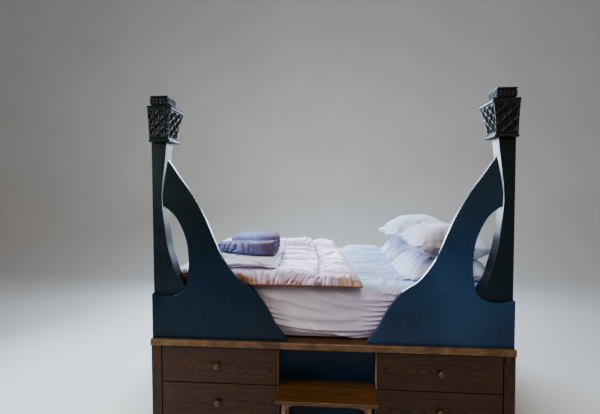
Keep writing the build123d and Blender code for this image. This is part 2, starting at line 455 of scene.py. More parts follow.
def oak(name, pale, mid, dark, grain="X", centre=(0.0, -0.13, 0.42), tilt=(0.0, 0.0), ring=0.0055, rough=0.5, worn=None, flecks=0.5, seed=0.0, coat=0.0):
    """Flat-sawn oak: growth rings round an axis that leans a little out of the board, pores and rays."""
    n = Nodes(name)
    p = n.pos()
    # The grain axis is turned to X and its origin set on the pith.
    q = n.map(p, (1, 1, 1), tuple(-c for c in centre))
    if grain == "Y":
        s = n.sep(q)
        q = n.comb(s[1], s[2], s[0])
    elif grain == "Z":
        s = n.sep(q)
        q = n.comb(s[2], s[1], s[0])
    q = n.map(q, (1, 1, 1), (0, 0, 0), (0, tilt[0], tilt[1]))
    far = n.map(q, (1, 1, 1), (seed, seed * 0.7, seed * 0.3))
    warp = n.noise(n.map(far, (1.6, 6.0, 6.0)), 1.0, 2, 0.5, 0.0, "Color")
    w2 = n.noise(n.map(far, (7, 30, 30)), 1.0, 2, 0.5, 0.0, "Color")
    half = n.add(warp, (-0.5, -0.5, -0.5))
    half2 = n.add(w2, (-0.5, -0.5, -0.5))
    v = n.add(q, n.add(n.scaled(half, 0.045), n.scaled(half2, 0.004)))
    s = n.sep(v)
    r = n.math("SQRT", n.math("ADD", n.math("MULTIPLY", s[1], s[1]), n.math("MULTIPLY", s[2], s[2])))
    turns = n.math("DIVIDE", r, ring)
    fr = n.math("FRACT", turns)
    # Early wood is dark and open, late wood pale and dense.
    band = n.grey(fr, [(0.0, 1.0), (0.16, 0.55), (0.5, 0.22), (0.86, 0.05), (0.96, 0.5), (1.0, 1.0)])
    vary = n.noise(n.map(q, (1.5, 60, 60)), 1.0, 3, 0.6)
    streak = n.noise(n.map(q, (3.0, 260, 260)), 1.0, 3, 0.62)
    pores = n.noise(n.map(q, (38, 1300, 1300)), 1.0, 2, 0.5)
    pore = n.grey(pores, [(0.0, 0.0), (0.56, 0.0), (0.68, 1.0)])
    pore = n.math("MULTIPLY", pore, n.math("ADD", n.math("MULTIPLY", band, 0.9), 0.25), clamp=True)
    tone = n.math("ADD", n.math("MULTIPLY", band, 0.55), n.math("MULTIPLY", n.range(streak, 0.3, 0.7, 0, 1), 0.35))
    tone = n.math("ADD", tone, n.math("MULTIPLY", n.range(vary, 0.3, 0.7, -0.5, 0.5), 0.35), clamp=True)
    col = n.ramp(tone, [(0.05, pale), (0.42, mid), (0.95, dark)])
    ray = n.noise(n.map(q, (22, 150, 150), (3, 5, 1)), 1.0, 2, 0.5, 0.6)
    rays = n.grey(ray, [(0.0, 0.0), (0.62, 0.0), (0.72, 1.0)])
    col = n.mix(n.math("MULTIPLY", rays, flecks * 0.35), col, pale)
    blotch = n.noise(p, 3.1, 4, 0.55)
    shade = n.grey(blotch, [(0.3, 0.80), (0.7, 1.08)])
    col = n.mix(1.0, col, shade, "MULTIPLY")
    deep = tuple(c * 0.35 for c in dark[:3]) + (1.0,)
    col = n.mix(n.math("MULTIPLY", pore, 0.65), col, deep)
    if worn is not None:
        col = worn(n, col, p)
    n.set(Base_Color=col)
    n.set(Roughness=n.range(tone, 0.0, 1.0, rough - 0.07, rough + 0.1))
    h = n.math("SUBTRACT", n.math("MULTIPLY", tone, -0.35), n.math("MULTIPLY", pore, 0.9))
    n.set(Normal=n.bump(h, 0.35, 0.0008))
    if coat:
        n.bsdf.inputs["Coat Weight"].default_value = coat
        n.bsdf.inputs["Coat Roughness"].default_value = 0.25
    return n.mat


def plywood(name, face, edge_dark, grain="Z", layer_axis="X"):
    """Birch ply: quiet faces, thin glued layers on the edges."""
    n = Nodes(name)
    p = n.pos()
    stretch = {"X": (2, 30, 30), "Y": (30, 2, 30), "Z": (30, 30, 2)}[grain]
    g = n.noise(n.map(p, stretch), 1.4, 5, 0.6, 0.4)
    fine = n.noise(n.map(p, tuple(v * 9 for v in stretch)), 1.0, 3, 0.6)
    col = n.ramp(g, [(0.3, face), (0.7, tuple(c * 0.78 for c in face[:3]) + (1,))])
    col = n.mix(n.range(fine, 0.35, 0.75, 0.0, 0.3), col, edge_dark)
    # Layers 1.5 mm thick show where the surface turns away from the face.
    geo = n.new("ShaderNodeNewGeometry")
    nx = n.sep(geo.outputs["True Normal"])
    ax = {"X": 0, "Y": 1, "Z": 2}[layer_axis]
    on_edge = n.grey(n.math("ABSOLUTE", nx[ax]), [(0.3, 1.0), (0.6, 0.0)])
    lay = n.wave(p, 105.0, 0.25, 1, 8, layer_axis)
    lay = n.grey(lay, [(0.35, 0.0), (0.65, 1.0)])
    col = n.mix(n.math("MULTIPLY", n.math("MULTIPLY", lay, on_edge), 0.6), col, edge_dark)
    n.set(Base_Color=col, Roughness=0.55)
    n.set(Normal=n.bump(n.math("ADD", fine, n.math("MULTIPLY", lay, 0.2)), 0.12, 0.0006))
    return n.mat


def weave(n, pitch, twill=False):
    """Height of a plain weave, from the flat uv in metres."""
    u = n.uv()
    k = math.pi / pitch / (2 * math.pi) * 2
    a = n.wave(u, 1.0 / pitch / 3.1831, 0.0, 0, 1, "X")
    b = n.wave(u, 1.0 / pitch / 3.1831, 0.0, 0, 1, "Y")
    return n.math("MULTIPLY", n.math("ADD", a, b), 0.5)


def cotton(name, light, shade, pitch=0.0009, rough=0.85, sheen=0.25, crumple=0.6, tint=None):
    """White bed cotton: faint colour drift, small creases and a plain weave."""
    n = Nodes(name)
    p = n.pos()
    drift = n.noise(p, 3.0, 4, 0.55)
    base = n.ramp(drift, [(0.3, shade), (0.68, light)])
    if tint is not None:
        base = tint(n, base, p)
    slub = n.noise(n.map(n.uv(), (60, 900, 1)), 1.0, 2, 0.5)
    base = n.mix(n.range(slub, 0.45, 0.8, 0.0, 0.10), base, shade)
    n.set(Base_Color=base, Roughness=rough)
    crease = n.noise(p, 26, 5, 0.62, 0.5)
    small = n.noise(n.map(p, (1, 1, 1.6)), 90, 4, 0.6)
    nb = n.bump(n.math("ADD", n.math("MULTIPLY", crease, 1.0), n.math("MULTIPLY", small, 0.35)), 0.35 * crumple, 0.010)
    nb = n.bump(weave(n, pitch), 0.25, 0.0003, nb)
    n.set(Normal=nb)
    n.bsdf.inputs["Sheen Weight"].default_value = sheen
    n.bsdf.inputs["Sheen Roughness"].default_value = 0.5
    n.bsdf.inputs["Specular IOR Level"].default_value = 0.3
    n.bsdf.inputs["Subsurface Weight"].default_value = 0.0
    return n.mat


def terry(name, light, shade, pitch=0.0022, deep=None, sheen=0.5, crest=None, gaps=0.45):
    """Towelling: rows of loops and a soft pile. deep is a second pair of shades that the colour turns to, with where it
    turns along x: painted light and shade, the first pair lit and deep shaded.
    """
    n = Nodes(name)
    p = n.pos()
    drift = n.noise(p, 6.0, 4, 0.6)
    loops = n.voronoi(n.map(n.uv(), (1.0, 0.8, 1.0)), 1.0 / pitch, rand=0.75)
    pile = n.noise(p, 330, 3, 0.6)
    tuft = n.noise(p, 60, 3, 0.6)
    base = n.ramp(drift, [(0.3, shade), (0.7, light)])
    low = tuple(c * 0.55 for c in shade[:3]) + (1.0,)
    if deep is not None:
        light2, shade2, x0, x1 = deep
        # Painted light: the first pair of shades stands for the lit side of the cloth, deep for its shaded side.
        turn = n.math("ADD", n.sep(p)[0], n.math("MULTIPLY", n.math("SUBTRACT", n.noise(n.map(p, (9, 9, 4)), 1.0, 3, 0.6), 0.5), 0.16))
        turn = n.range(turn, x0, x1, 0.0, 1.0)
        base = n.mix(turn, base, n.ramp(drift, [(0.3, shade2), (0.7, light2)]))
        low = n.mix(turn, low, tuple(c * 0.55 for c in shade2[:3]) + (1.0,))
    hollow = n.grey(loops, [(0.25, 0.0), (0.75, 1.0)])
    base = n.mix(n.math("MULTIPLY", hollow, gaps), base, low)
    base = n.mix(n.range(tuft, 0.4, 0.75, 0.0, 0.25), base, light)
    if crest is not None:
        # Painted highlight along the crests of the folds and painted shade between them.
        a = n.new("ShaderNodeAttribute", attribute_name="crest").outputs["Fac"]
        base = n.mix(n.range(a, 0.0, 1.0, 0.0, 0.85), base, crest[0])
        base = n.mix(n.range(a, -1.0, 0.0, 0.75, 0.0), base, n.mix(1.0, base, crest[1], "MULTIPLY"))
    n.set(Base_Color=base, Roughness=0.95)
    h = n.math("SUBTRACT", n.math("MULTIPLY", pile, 0.8), n.math("MULTIPLY", loops, 0.7))
    nb = n.bump(n.math("MULTIPLY", tuft, 1.0), 0.4, 0.004)
    n.set(Normal=n.bump(h, 0.7, 0.0014, nb))
    n.bsdf.inputs["Sheen Weight"].default_value = sheen
    n.bsdf.inputs["Sheen Roughness"].default_value = 0.6
    n.bsdf.inputs["Specular IOR Level"].default_value = 0.15
    return n.mat


def satin(name, light, shade, rough=0.42, pitch=0.0007, sheen=0.3, glow=0.0):
    """Satin: a soft gloss over fine threads."""
    n = Nodes(name)
    p = n.pos()
    drift = n.noise(p, 5.0, 4, 0.6)
    base = n.ramp(drift, [(0.3, shade), (0.7, light)])
    thread = n.noise(n.map(n.uv(), (40, 1400, 1)), 1.0, 2, 0.5)
    base = n.mix(n.range(thread, 0.45, 0.8, 0.0, 0.14), base, shade)
    n.set(Base_Color=base, Roughness=n.range(thread, 0.3, 0.7, rough - 0.05, rough + 0.06))
    small = n.noise(p, 70, 4, 0.6, 0.3)
    nb = n.bump(small, 0.22, 0.004)
    n.set(Normal=n.bump(thread, 0.15, 0.0003, nb))
    n.bsdf.inputs["Sheen Weight"].default_value = sheen
    n.bsdf.inputs["Sheen Roughness"].default_value = 0.35
    n.bsdf.inputs["Specular IOR Level"].default_value = 0.5
    return n.mat


def ticking(name, ground, stripe):
    """Mattress ticking: narrow woven stripes on off-white."""
    n = Nodes(name)
    u = n.sep(n.uv())
    s = n.math("FRACT", n.math("DIVIDE", u[0], 0.034))
    bands = n.ramp(s, [(0.0, ground), (0.30, ground), (0.305, stripe), (0.36, stripe), (0.365, ground), (0.43, ground), (0.435, stripe), (0.445, stripe), (0.45, ground), (0.90, ground), (0.905, stripe), (0.925, stripe), (0.93, ground), (1.0, ground)], "CONSTANT")
    p = n.pos()
    dirt = n.noise(p, 4, 4, 0.6)
    bands = n.mix(n.range(dirt, 0.4, 0.75, 0.0, 0.18), bands, lin(196, 188, 172))
    n.set(Base_Color=bands, Roughness=0.85)
    nb = n.bump(n.noise(p, 18, 4, 0.6), 0.3, 0.006)
    n.set(Normal=n.bump(weave(n, 0.0011), 0.4, 0.0004, nb))
    n.bsdf.inputs["Sheen Weight"].default_value = 0.2
    return n.mat


def metal(name, colour, rough):
    n = Nodes(name)
    p = n.pos()
    g = n.noise(n.map(p, (60, 3, 60)), 8, 3, 0.6)
    n.set(Base_Color=n.ramp(g, [(0.3, colour), (0.7, tuple(c * 0.8 for c in colour[:3]) + (1,))]), Metallic=1.0, Roughness=n.range(g, 0.3, 0.7, rough, rough + 0.12))
    n.set(Normal=n.bump(g, 0.1, 0.0004))
    return n.mat


PAINT_PANEL = paint("panel_paint", lin(26, 47, 71), lin(41, 70, 103), (0.24, 0.38), (1.0, 1.0, 0.12), (lin(34, 42, 38), 1.05, 1.5))
# Darker copy of the panel paint for the left panel: painted shade, the right panel's paint being the lit copy.
PAINT_PANEL_SHADED = paint("panel_paint_shaded", lin(8, 26, 38), lin(13, 40, 58), (0.24, 0.38), (1.0, 1.0, 0.12), (lin(28, 34, 28), 0.95, 1.35))
# The posts and capitals take a darker copy of the same paint: painted shade.
PAINT_POST_SHADED = paint("post_paint", lin(15, 25, 30), lin(25, 42, 52), (0.3, 0.46), (1.0, 1.0, 0.1), (lin(20, 26, 20), 1.2, 1.8))
PAINT_RECESS = paint("recess_paint", lin(10, 30, 46), lin(20, 52, 80), (0.35, 0.5), (0.12, 1.0, 1.0))


def worn_board(n, col, p):
    s = n.sep(p)
    # The front arris is lighter where bedding and hands rub it.
    edge = n.range(s[1], -0.742, -0.720, 1.0, 0.0)
    edge = n.math("MULTIPLY", edge, n.range(n.noise(p, 14, 4, 0.6), 0.35, 0.7, 0.15, 1.0), clamp=True)
    return n.mix(n.math("MULTIPLY", edge, 0.35), col, lin(176, 140, 98))


OP, OM, OD = lin(86, 50, 19), lin(55, 30, 10), lin(28, 15, 5)
OAK_FRONT = oak("oak_front", OP, OM, OD, "X", (0.62, -0.690, 0.205), (0.02, 0.075), 0.0062, 0.45, flecks=0.7)
OAK_FRONT2 = oak("oak_front_b", OP, OM, OD, "X", (-0.55, -0.700, 0.405), (-0.03, -0.085), 0.0058, 0.45, flecks=0.8, seed=3.1)
OAK_FRONT3 = oak("oak_front_c", OP, OM, OD, "X", (0.60, -0.705, 0.440), (0.02, 0.07), 0.0055, 0.45, flecks=0.7, seed=7.7)
OAK_FRONT4 = oak("oak_front_d", OP, OM, OD, "X", (-0.66, -0.685, 0.215), (-0.02, -0.07), 0.0060, 0.45, flecks=0.8, seed=11.3)
OAK_STILE = oak("oak_stile", OP, OM, OD, "Z", (0.99, -0.60, 0.3), (0.02, 0.03), 0.0050, 0.48)
OAK_BOARD = oak("oak_board", lin(108, 72, 37), lin(68, 42, 19), lin(38, 22, 9), "X", (0.1, -0.62, 0.50), (0.015, 0.03), 0.0058, 0.40, worn_board, 0.4, 5.0, 0.15)
OAK_STEP = oak("step_oak", lin(110, 76, 36), lin(82, 53, 22), lin(50, 30, 12), "X", (0.1, -0.78, 0.262), (0.05, 0.02), 0.0056, 0.36, None, 0.4, 9.0, 0.25)
OAK_LEG = oak("step_leg_oak", lin(164, 134, 100), lin(132, 102, 70), lin(86, 60, 38), "Z", (0.2, -0.8, 0.1), (0.02, 0.02), 0.0050, 0.45)
KNOB = oak("knob_wood", lin(108, 78, 50), lin(82, 56, 33), lin(50, 32, 17), "Y", (0.62, -0.75, 0.2), (0.2, 0.1), 0.0030, 0.30, None, 0.3, 2.0, 0.5)
PLY = plywood("carcass_ply", lin(206, 180, 140), lin(140, 104, 66), "Z", "X")
DRAWER_PLY = plywood("drawer_ply", lin(212, 188, 150), lin(146, 110, 72), "Y", "Z")
PINE = oak("slat_pine", lin(226, 196, 148), lin(210, 174, 122), lin(168, 122, 74), "X", (0.0, 0.0, 0.45), (0.01, 0.02), 0.009, 0.55, None, 0.0, 1.0)
STEEL = metal("slide_steel", lin(190, 194, 198), 0.3)

NODE_MATERIAL = {
    "left_panel": PAINT_PANEL_SHADED, "right_panel": PAINT_PANEL,
    "left_post": PAINT_POST_SHADED, "right_post": PAINT_POST_SHADED,
    "left_capital": PAINT_POST_SHADED, "right_capital": PAINT_POST_SHADED,
    "left_outer_gable": PLY, "right_outer_gable": PLY, "left_inner_gable": PLY, "right_inner_gable": PLY,
    "kick_boards": PAINT_RECESS, "recess_panel": PAINT_RECESS,
    "left_stile": OAK_STILE, "right_stile": OAK_STILE,
    "front_board": OAK_BOARD, "back_rail": PINE, "deck_slats": PINE, "drawer_rails": STEEL,
    "right_lower_drawer_front": OAK_FRONT, "left_upper_drawer_front": OAK_FRONT2,
    "right_upper_drawer_front": OAK_FRONT3, "left_lower_drawer_front": OAK_FRONT4,
    "step_top": OAK_STEP, "step_legs": OAK_LEG, "step_rails": OAK_LEG,
}
for side in ("left", "right"):
    for level in ("lower", "upper"):
        NODE_MATERIAL[f"{side}_{level}_drawer_box"] = DRAWER_PLY
        NODE_MATERIAL[f"{side}_{level}_knob"] = KNOB
for name, mat in NODE_MATERIAL.items():
    o = NODES[name]
    o.data.materials.clear()
    o.data.materials.append(mat)



def bed_painted_light(n, base, p):
    """Painted light on the duvet: the drop is tinted a warm, slightly violet white as painted shade, with a painted
    shadow just under the quilt; the top is tinted a cool white as painted window light.
    """
    x, y, z = n.sep(p)
    drop = n.math("MULTIPLY", n.range(z, 0.835, 0.884, 1.0, 0.0), n.range(y, -0.60, -0.57, 1.0, 0.0))
    cool = n.mix(1.0, base, lin(212, 232, 255), "MULTIPLY")
    warm = n.mix(1.0, base, n.mix(n.range(x, -0.30, 0.50, 0.0, 1.0), lin(234, 219, 210), lin(224, 211, 228)), "MULTIPLY")
    base = n.mix(drop, cool, warm)
    # Painted shadow where the quilt's front edge overhangs the drop.
    under = n.math("MULTIPLY", n.math("MULTIPLY", n.range(z, 0.815, 0.872, 0.0, 1.0), n.range(x, 0.12, 0.24, 1.0, 0.0)), n.range(y, -0.60, -0.57, 1.0, 0.0))
    return n.mix(n.math("MULTIPLY", under, 0.75), base, n.mix(1.0, base, lin(222, 208, 184), "MULTIPLY"))


WHITE = cotton("sheet_cotton", lin(230, 232, 245), lin(217, 219, 233), crumple=0.5, tint=bed_painted_light)


def pillow_painted_shade(n, base, p):
    """Painted shade: the front ends are made warmer, beige high up and violet-grey lower, where the light reaches them
    last.
    """
    x, y, z = n.sep(p)
    face = n.math("MULTIPLY", n.range(y, -0.42, -0.27, 1.0, 0.0), n.math("MULTIPLY", n.range(x, 0.50, 0.60, 0.0, 1.0), n.range(x, 0.78, 0.88, 1.0, 0.0)))
    high = n.range(z, 1.00, 1.05, 0.0, 1.0)
    warm = n.mix(high, n.mix(1.0, base, lin(220, 213, 230), "MULTIPLY"), n.mix(1.0, base, lin(214, 198, 186), "MULTIPLY"))
    return n.mix(face, base, warm)


# Pillow cotton: its blue cast is painted cool light, and the front ends get painted shade.
PILLOW_WHITE = cotton("pillow_cotton", lin(222, 230, 250), lin(208, 214, 237), crumple=0.6, tint=pillow_painted_shade)
PIPING = satin("quilt_piping", lin(128, 80, 62), lin(102, 60, 48), 0.5)
# Bath sheet pile: its blue cast is painted cool light; the crest pair gives a painted highlight on the folds and a
# pinkish painted shade.
TERRY_WHITE = terry("bath_sheet_terry", lin(235, 245, 255), lin(226, 236, 255), sheen=0.35, gaps=0.08, crest=(lin(255, 255, 255), lin(204, 184, 200)))
# Towel pile: lavender at the left and plum at the right are painted light and shade; the crest pair gives a painted
# highlight and painted shade on the folds.
TERRY_PLUM = terry("towel_terry", lin(158, 164, 218), lin(126, 132, 190), deep=(lin(124, 104, 130), lin(92, 76, 98), -0.56, -0.40), sheen=0.05, crest=(lin(224, 224, 242), lin(150, 150, 170)))
TICKING = ticking("mattress_ticking", lin(226, 221, 208), lin(96, 108, 132))
TICK_PIPE = cotton("mattress_piping", lin(214, 208, 194), lin(196, 190, 176))
print("materials done")


# ------------------------------------------------------------ capitals ------
OUT_X = 1.0195


def carving(u, v):
    """Depth of the cut pattern at (u across, v up), both in units of the face: pointed leaves in a diagonal lattice."""
    depth = np.zeros_like(u)
    for row in range(-1, 7):
        for col in range(-3, 4):
            if (row + col) % 2:
                continue
            cu, cv = 0.56 * col, 0.045 + 0.165 * row
            dv = (v - cv) / 0.135
            half = 0.40 * np.clip(1 - dv ** 2, 0, 1) * (1 - 0.22 * dv)
            f = np.where(np.abs(dv) < 1, 1 - np.abs(u - cu) / np.maximum(half, 1e-4), 0)
            depth = np.maximum(depth, smooth(0.0, 0.55, f) * smooth(1.0, 0.8, np.abs(dv)))
            # A rib down the middle of each leaf.
            depth = depth - 0.45 * np.exp(-((u - cu) / 0.055) ** 2) * smooth(1.0, 0.7, np.abs(dv))
    ribs = np.zeros_like(u)
    for sign in (1, -1):
        ph = (sign * u / 0.56 + (v - 0.045) / 0.165) / 2
        d = np.abs(ph - np.round(ph - 0.5) - 0.5)
        ribs = np.maximum(ribs, np.exp(-(d / 0.075) ** 2))
    return np.clip(depth, -0.2, 1) * (1 - 0.6 * ribs) - 0.25 * ribs


def ring_loop(x0, y0, y1, nf, ns, nb):
    """Points round a rectangle from x0 to the outer side: front, outer, back and inner side, with the side and place of each."""
    f = np.linspace(0, 1, nf)
    g = np.linspace(0, 1, ns)
    h = np.linspace(0, 1, nb)
    pts = [(x0 + (OUT_X - x0) * t, y0, 0, t) for t in f[:-1]]
    pts += [(OUT_X, y0 + (y1 - y0) * t, 1, t) for t in np.linspace(0, 1, 4)[:-1]]
    pts += [(OUT_X + (x0 - OUT_X) * t, y1, 2, 1 - t) for t in h[:-1]]
    pts += [(x0, y1 + (y0 - y1) * t, 3, 1 - t) for t in g[:-1]]
    return np.array(pts)


def stack_mesh(name, rings, mats, shade):
    rings = np.array(rings)
    nz, nl = rings.shape[:2]
    i0 = (np.arange(nz - 1)[:, None] * nl + np.arange(nl)[None]).ravel()
    i1 = (np.arange(nz - 1)[:, None] * nl + (np.arange(nl)[None] + 1) % nl).ravel()
    faces = [tuple(q) for q in np.stack([i0, i1, i1 + nl, i0 + nl], -1)]
    faces += [tuple(range(nl))[::-1], tuple(range((nz - 1) * nl, nz * nl))]
    return outward(make_object(name, rings.reshape(-1, 3), faces, None, mats, None, shade))


def capital_parts(side):
    """Bell, ledge, abacus and top block of one carved capital."""
    zs = np.linspace(1.7262, 1.9058, 104)
    knots = [1.726, 1.790, 1.852, 1.906]

    def at(vals, z):
        line = spline(list(zip(knots, vals)), 200)
        return np.interp(z, line[:, 0], line[:, 1])

    rings = []
    for z in zs:
        v = (z - 1.726) / 0.18
        x0, y0, y1 = at([0.904, 0.900, 0.892, 0.879], z), at([-0.002, -0.006, -0.013, -0.024], z), at([0.118, 0.134, 0.160, 0.180], z)
        # Necking at the foot, a rolled lip where the leaves curl over at the top.
        swell = -0.004 * np.exp(-((v - 0.035) / 0.02) ** 2) + 0.003 * np.exp(-((v - 0.955) / 0.028) ** 2) - 0.003 * np.exp(-((v - 0.895) / 0.02) ** 2)
        loop = ring_loop(x0, y0, y1, 66, 92, 40)
        x, y, which, t = loop.T
        wide = np.where(which == 3, (y1 - y0), (OUT_X - x0))
        u = 2 * (t - 0.5) * wide / 0.118
        edge = np.minimum(t, 1 - t) * wide
        cut = carving(u, np.full_like(u, v)) * smooth(0.004, 0.010, edge) * smooth(0.06, 0.10, v) * smooth(0.90, 0.86, v)
        push = swell * smooth(0.0, 0.004, edge) - 0.0075 * cut
        push = np.where(which == 1, 0.0, push)
        y = y + np.where(which == 0, -push, np.where(which == 2, push, 0.0))
        x = x - np.where(which == 3, push, 0.0)
        rings.append(np.column_stack([x * side, y - MID, np.full_like(x, z)]))
    bell = stack_mesh("capital_bell", rings, [PAINT_POST_SHADED], True)
    parts = [bell]
    for prof, (x0, y0, y1) in (
        ([(-0.012, 1.7100), (-0.006, 1.7108), (-0.0015, 1.7132), (0.0, 1.7165), (-0.001, 1.7200), (-0.0035, 1.7225), (-0.0035, 1.7245), (-0.010, 1.7262)], (0.893, -0.012, 0.142)),
        ([(-0.010, 1.9058), (-0.003, 1.9066), (0.0, 1.9085), (0.0, 1.9115), (-0.0025, 1.9135), (-0.012, 1.9142)], (0.877, -0.026, 0.182)),
    ):
        rings = []
        for off, z in prof:
            loop = ring_loop(x0 - off, y0 - off, y1 + off, 4, 4, 4)
            rings.append(np.column_stack([loop[:, 0] * side, loop[:, 1] - MID, np.full(len(loop), z)]))
        parts.append(stack_mesh("capital_moulding", rings, [PAINT_POST_SHADED], False))
    # Top block: a hollow under its cap, and small sunk squares on the faces.
    rings = []
    for z in np.linspace(1.9140, 1.9720, 60):
        w = z - 1.914
        off = -0.006 * math.exp(-((w - 0.004) / 0.004) ** 2) - 0.005 * math.exp(-((w - 0.0465) / 0.0022) ** 2) - (0.003 if w > 0.0572 else 0.0)
        x0, x1, y0, y1 = 0.902 - off, 1.006 + off, -0.010 - off, 0.104 + off
        n = 62
        t = np.linspace(0, 1, n)[:-1]
        loop = [(x0 + (x1 - x0) * q, y0, 0, q) for q in t] + [(x1, y0 + (y1 - y0) * q, 1, q) for q in t] + [(x1 + (x0 - x1) * q, y1, 2, q) for q in t] + [(x0, y1 + (y0 - y1) * q, 3, q) for q in t]
        x, y, which, q = np.array(loop).T
        along = q * 0.104 / 0.0208
        up = (w - 0.0065) / 0.0125
        cell = np.maximum(np.abs(along - np.floor(along) - 0.5), abs(up - math.floor(up) - 0.5))
        sunk = smooth(0.40, 0.26, cell) * (1.0 if 0 <= up <= 3 else 0.0)
        push = -0.0032 * sunk
        y = y + np.where(which == 0, -push, np.where(which == 2, push, 0))
        x = x + np.where(which == 1, push, np.where(which == 3, -push, 0))
        rings.append(np.column_stack([x * side, y - MID, np.full_like(x, z)]))
    parts.append(stack_mesh("capital_block", rings, [PAINT_POST_SHADED], False))
    return parts


for side, word in ((1, "right"), (-1, "left")):
    o = join(capital_parts(side), word + "_capital_carved")
    add_modifier(o, "EDGE_SPLIT", split_angle=math.radians(50))
    bake_modifiers(o)
    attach(o, BED)
    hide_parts(word + "_capital")
print("capitals done")


# ------------------------------------------------------------- bedding ------
def firm_block(name, x0, x1, y0, y1, z0, z1, radius, step, mats, bulge=0.0):
    """Stuffed block with rounded edges, from a subdivided cube."""
    bm = bmesh.new()
    nx, ny, nz = (max(2, int(round((b - a) / step))) for a, b in ((x0, x1), (y0, y1), (z0, z1)))
    uvl = bm.loops.layers.uv.new("flat")
    cache = {}

    def vert(i, j, k):
        key = (i, j, k)
        if key not in cache:
            p = np.array([x0 + (x1 - x0) * i / nx, y0 + (y1 - y0) * j / ny, z0 + (z1 - z0) * k / nz])
            lo, hi = np.array([x0, y0, z0]) + radius, np.array([x1, y1, z1]) - radius
            core = np.clip(p, lo, hi)
            d = p - core
            l = np.linalg.norm(d)
            if l > 1e-9:
                p = core + d / l * min(l, radius) if l > radius else p
            cache[key] = bm.verts.new(p)
        return cache[key]

    def side(get, a, b, uv, flip):
        for i in range(a):
            for j in range(b):
                vs = [get(i, j), get(i + 1, j), get(i + 1, j + 1), get(i, j + 1)]
                if flip:
                    vs = vs[::-1]
                f = bm.faces.new(vs)
                f.smooth = True
                for lp in f.loops:
                    c = lp.vert.co
                    lp[uvl].uv = uv(c)
    side(lambda i, j: vert(i, j, 0), nx, ny, lambda c: (c.x, c.y), True)
    side(lambda i, j: vert(i, j, nz), nx, ny, lambda c: (c.x, c.y), False)
    side(lambda i, k: vert(i, 0, k), nx, nz, lambda c: (c.x, c.z), False)
    side(lambda i, k: vert(i, ny, k), nx, nz, lambda c: (c.x, c.z), True)
    side(lambda j, k: vert(0, j, k), ny, nz, lambda c: (c.y, c.z), True)
    side(lambda j, k: vert(nx, j, k), ny, nz, lambda c: (c.y, c.z), False)
    me = bpy.data.meshes.new(name)
    bm.to_mesh(me)
    bm.free()
    for mt in mats:
        me.materials.append(mt)
    o = bpy.data.objects.new(name, me)
    scene.collection.objects.link(o)
    return o


# Mattress: boxed, with piped edges, under the duvet.
mx0, mx1, my0, my1, mz0, mz1 = -0.998, 0.998, 0.123 - MID, 1.578 - MID, 0.568, 0.819
mattress = firm_block("mattress_body", mx0, mx1, my0, my1, mz0, mz1, 0.022, 0.03, [TICKING])
co = np.array([v.co for v in mattress.data.vertices])
mid = (mz0 + mz1) / 2
amount = 0.006 * (1 - ((co[:, 2] - mid) / (mz1 - mid)) ** 2) * (1 + 0.5 * noise2(co[:, 0] * 4, co[:, 1] * 4, 5))
for ax, (a, b) in ((0, (mx0, mx1)), (1, (my0, my1))):
    near_hi = smooth(b - 0.03, b, co[:, ax])
    near_lo = smooth(a + 0.03, a, co[:, ax])
    co[:, ax] += (near_lo - near_hi) * (0.007 - amount)
for v, c in zip(mattress.data.vertices, co):
    v.co = c
parts = [mattress]
for z in (mz0 + 0.013, mz1 - 0.013):
    r = 0.03
    c = []
    for cx, cy, a0 in ((mx1 - r, my1 - r, 0), (mx0 + r, my1 - r, 90), (mx0 + r, my0 + r, 180), (mx1 - r, my0 + r, 270)):
        for a in np.radians(np.arange(a0, a0 + 91, 15)):
            c.append((cx + (r - 0.008) * math.cos(a), cy + (r - 0.008) * math.sin(a), z))
    pts = []
    for a, b in zip(c, c[1:] + c[:1]):
        k = max(1, int(math.dist(a, b) / 0.05))
        for t in range(k):
            pts.append([a[i] + (b[i] - a[i]) * t / k for i in range(3)])
    parts.append(tube("mattress_pipe", pts, 0.0055, [TICK_PIPE], True, 8))
mattress = join(parts, "mattress_body")
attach(mattress, BED)
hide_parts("mattress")

# Duvet: over the mattress, hanging to the front board between the panels.
XD = np.concatenate([np.linspace(-1.0, -0.66, 34, endpoint=False), np.linspace(-0.66, 0.60, 212, endpoint=False), np.linspace(0.60, 1.0, 40)])
NX = len(XD)
xs = XD


def duvet_section(x):
    """Outer line of the duvet at x, from the foot of the drop to the back."""
    k = smooth(0.70, 0.79, abs(x))            # 0 between the panels, 1 behind the posts
    foot = 0.570 * (1 - k) + 0.83 * k
    y_out = 0.0
    outer = np.array([
        [0.084, foot], [0.068, foot + 0.012], [0.0595, foot + 0.05 * (1 - k) + 0.01],
        [0.0575, 0.66 * (1 - k) + 0.845 * k], [0.0580, 0.74 * (1 - k) + 0.855 * k], [0.0590, 0.805 * (1 - k) + 0.862 * k],
        [0.066, 0.848 * (1 - k) + 0.870 * k], [0.084, 0.874], [0.125, 0.884], [0.20, 0.8855], [0.5, 0.8852], [0.9, 0.8852], [1.25, 0.886], [1.50, 0.884], [1.565, 0.876], [1.587, 0.856],
    ])
    outer[:9, 0] += k * 0.071 * np.array([1.0, 1, 1, 1, 1, 1, 0.95, 0.8, 0.4])
    return outer


NO, NI = 262, 22
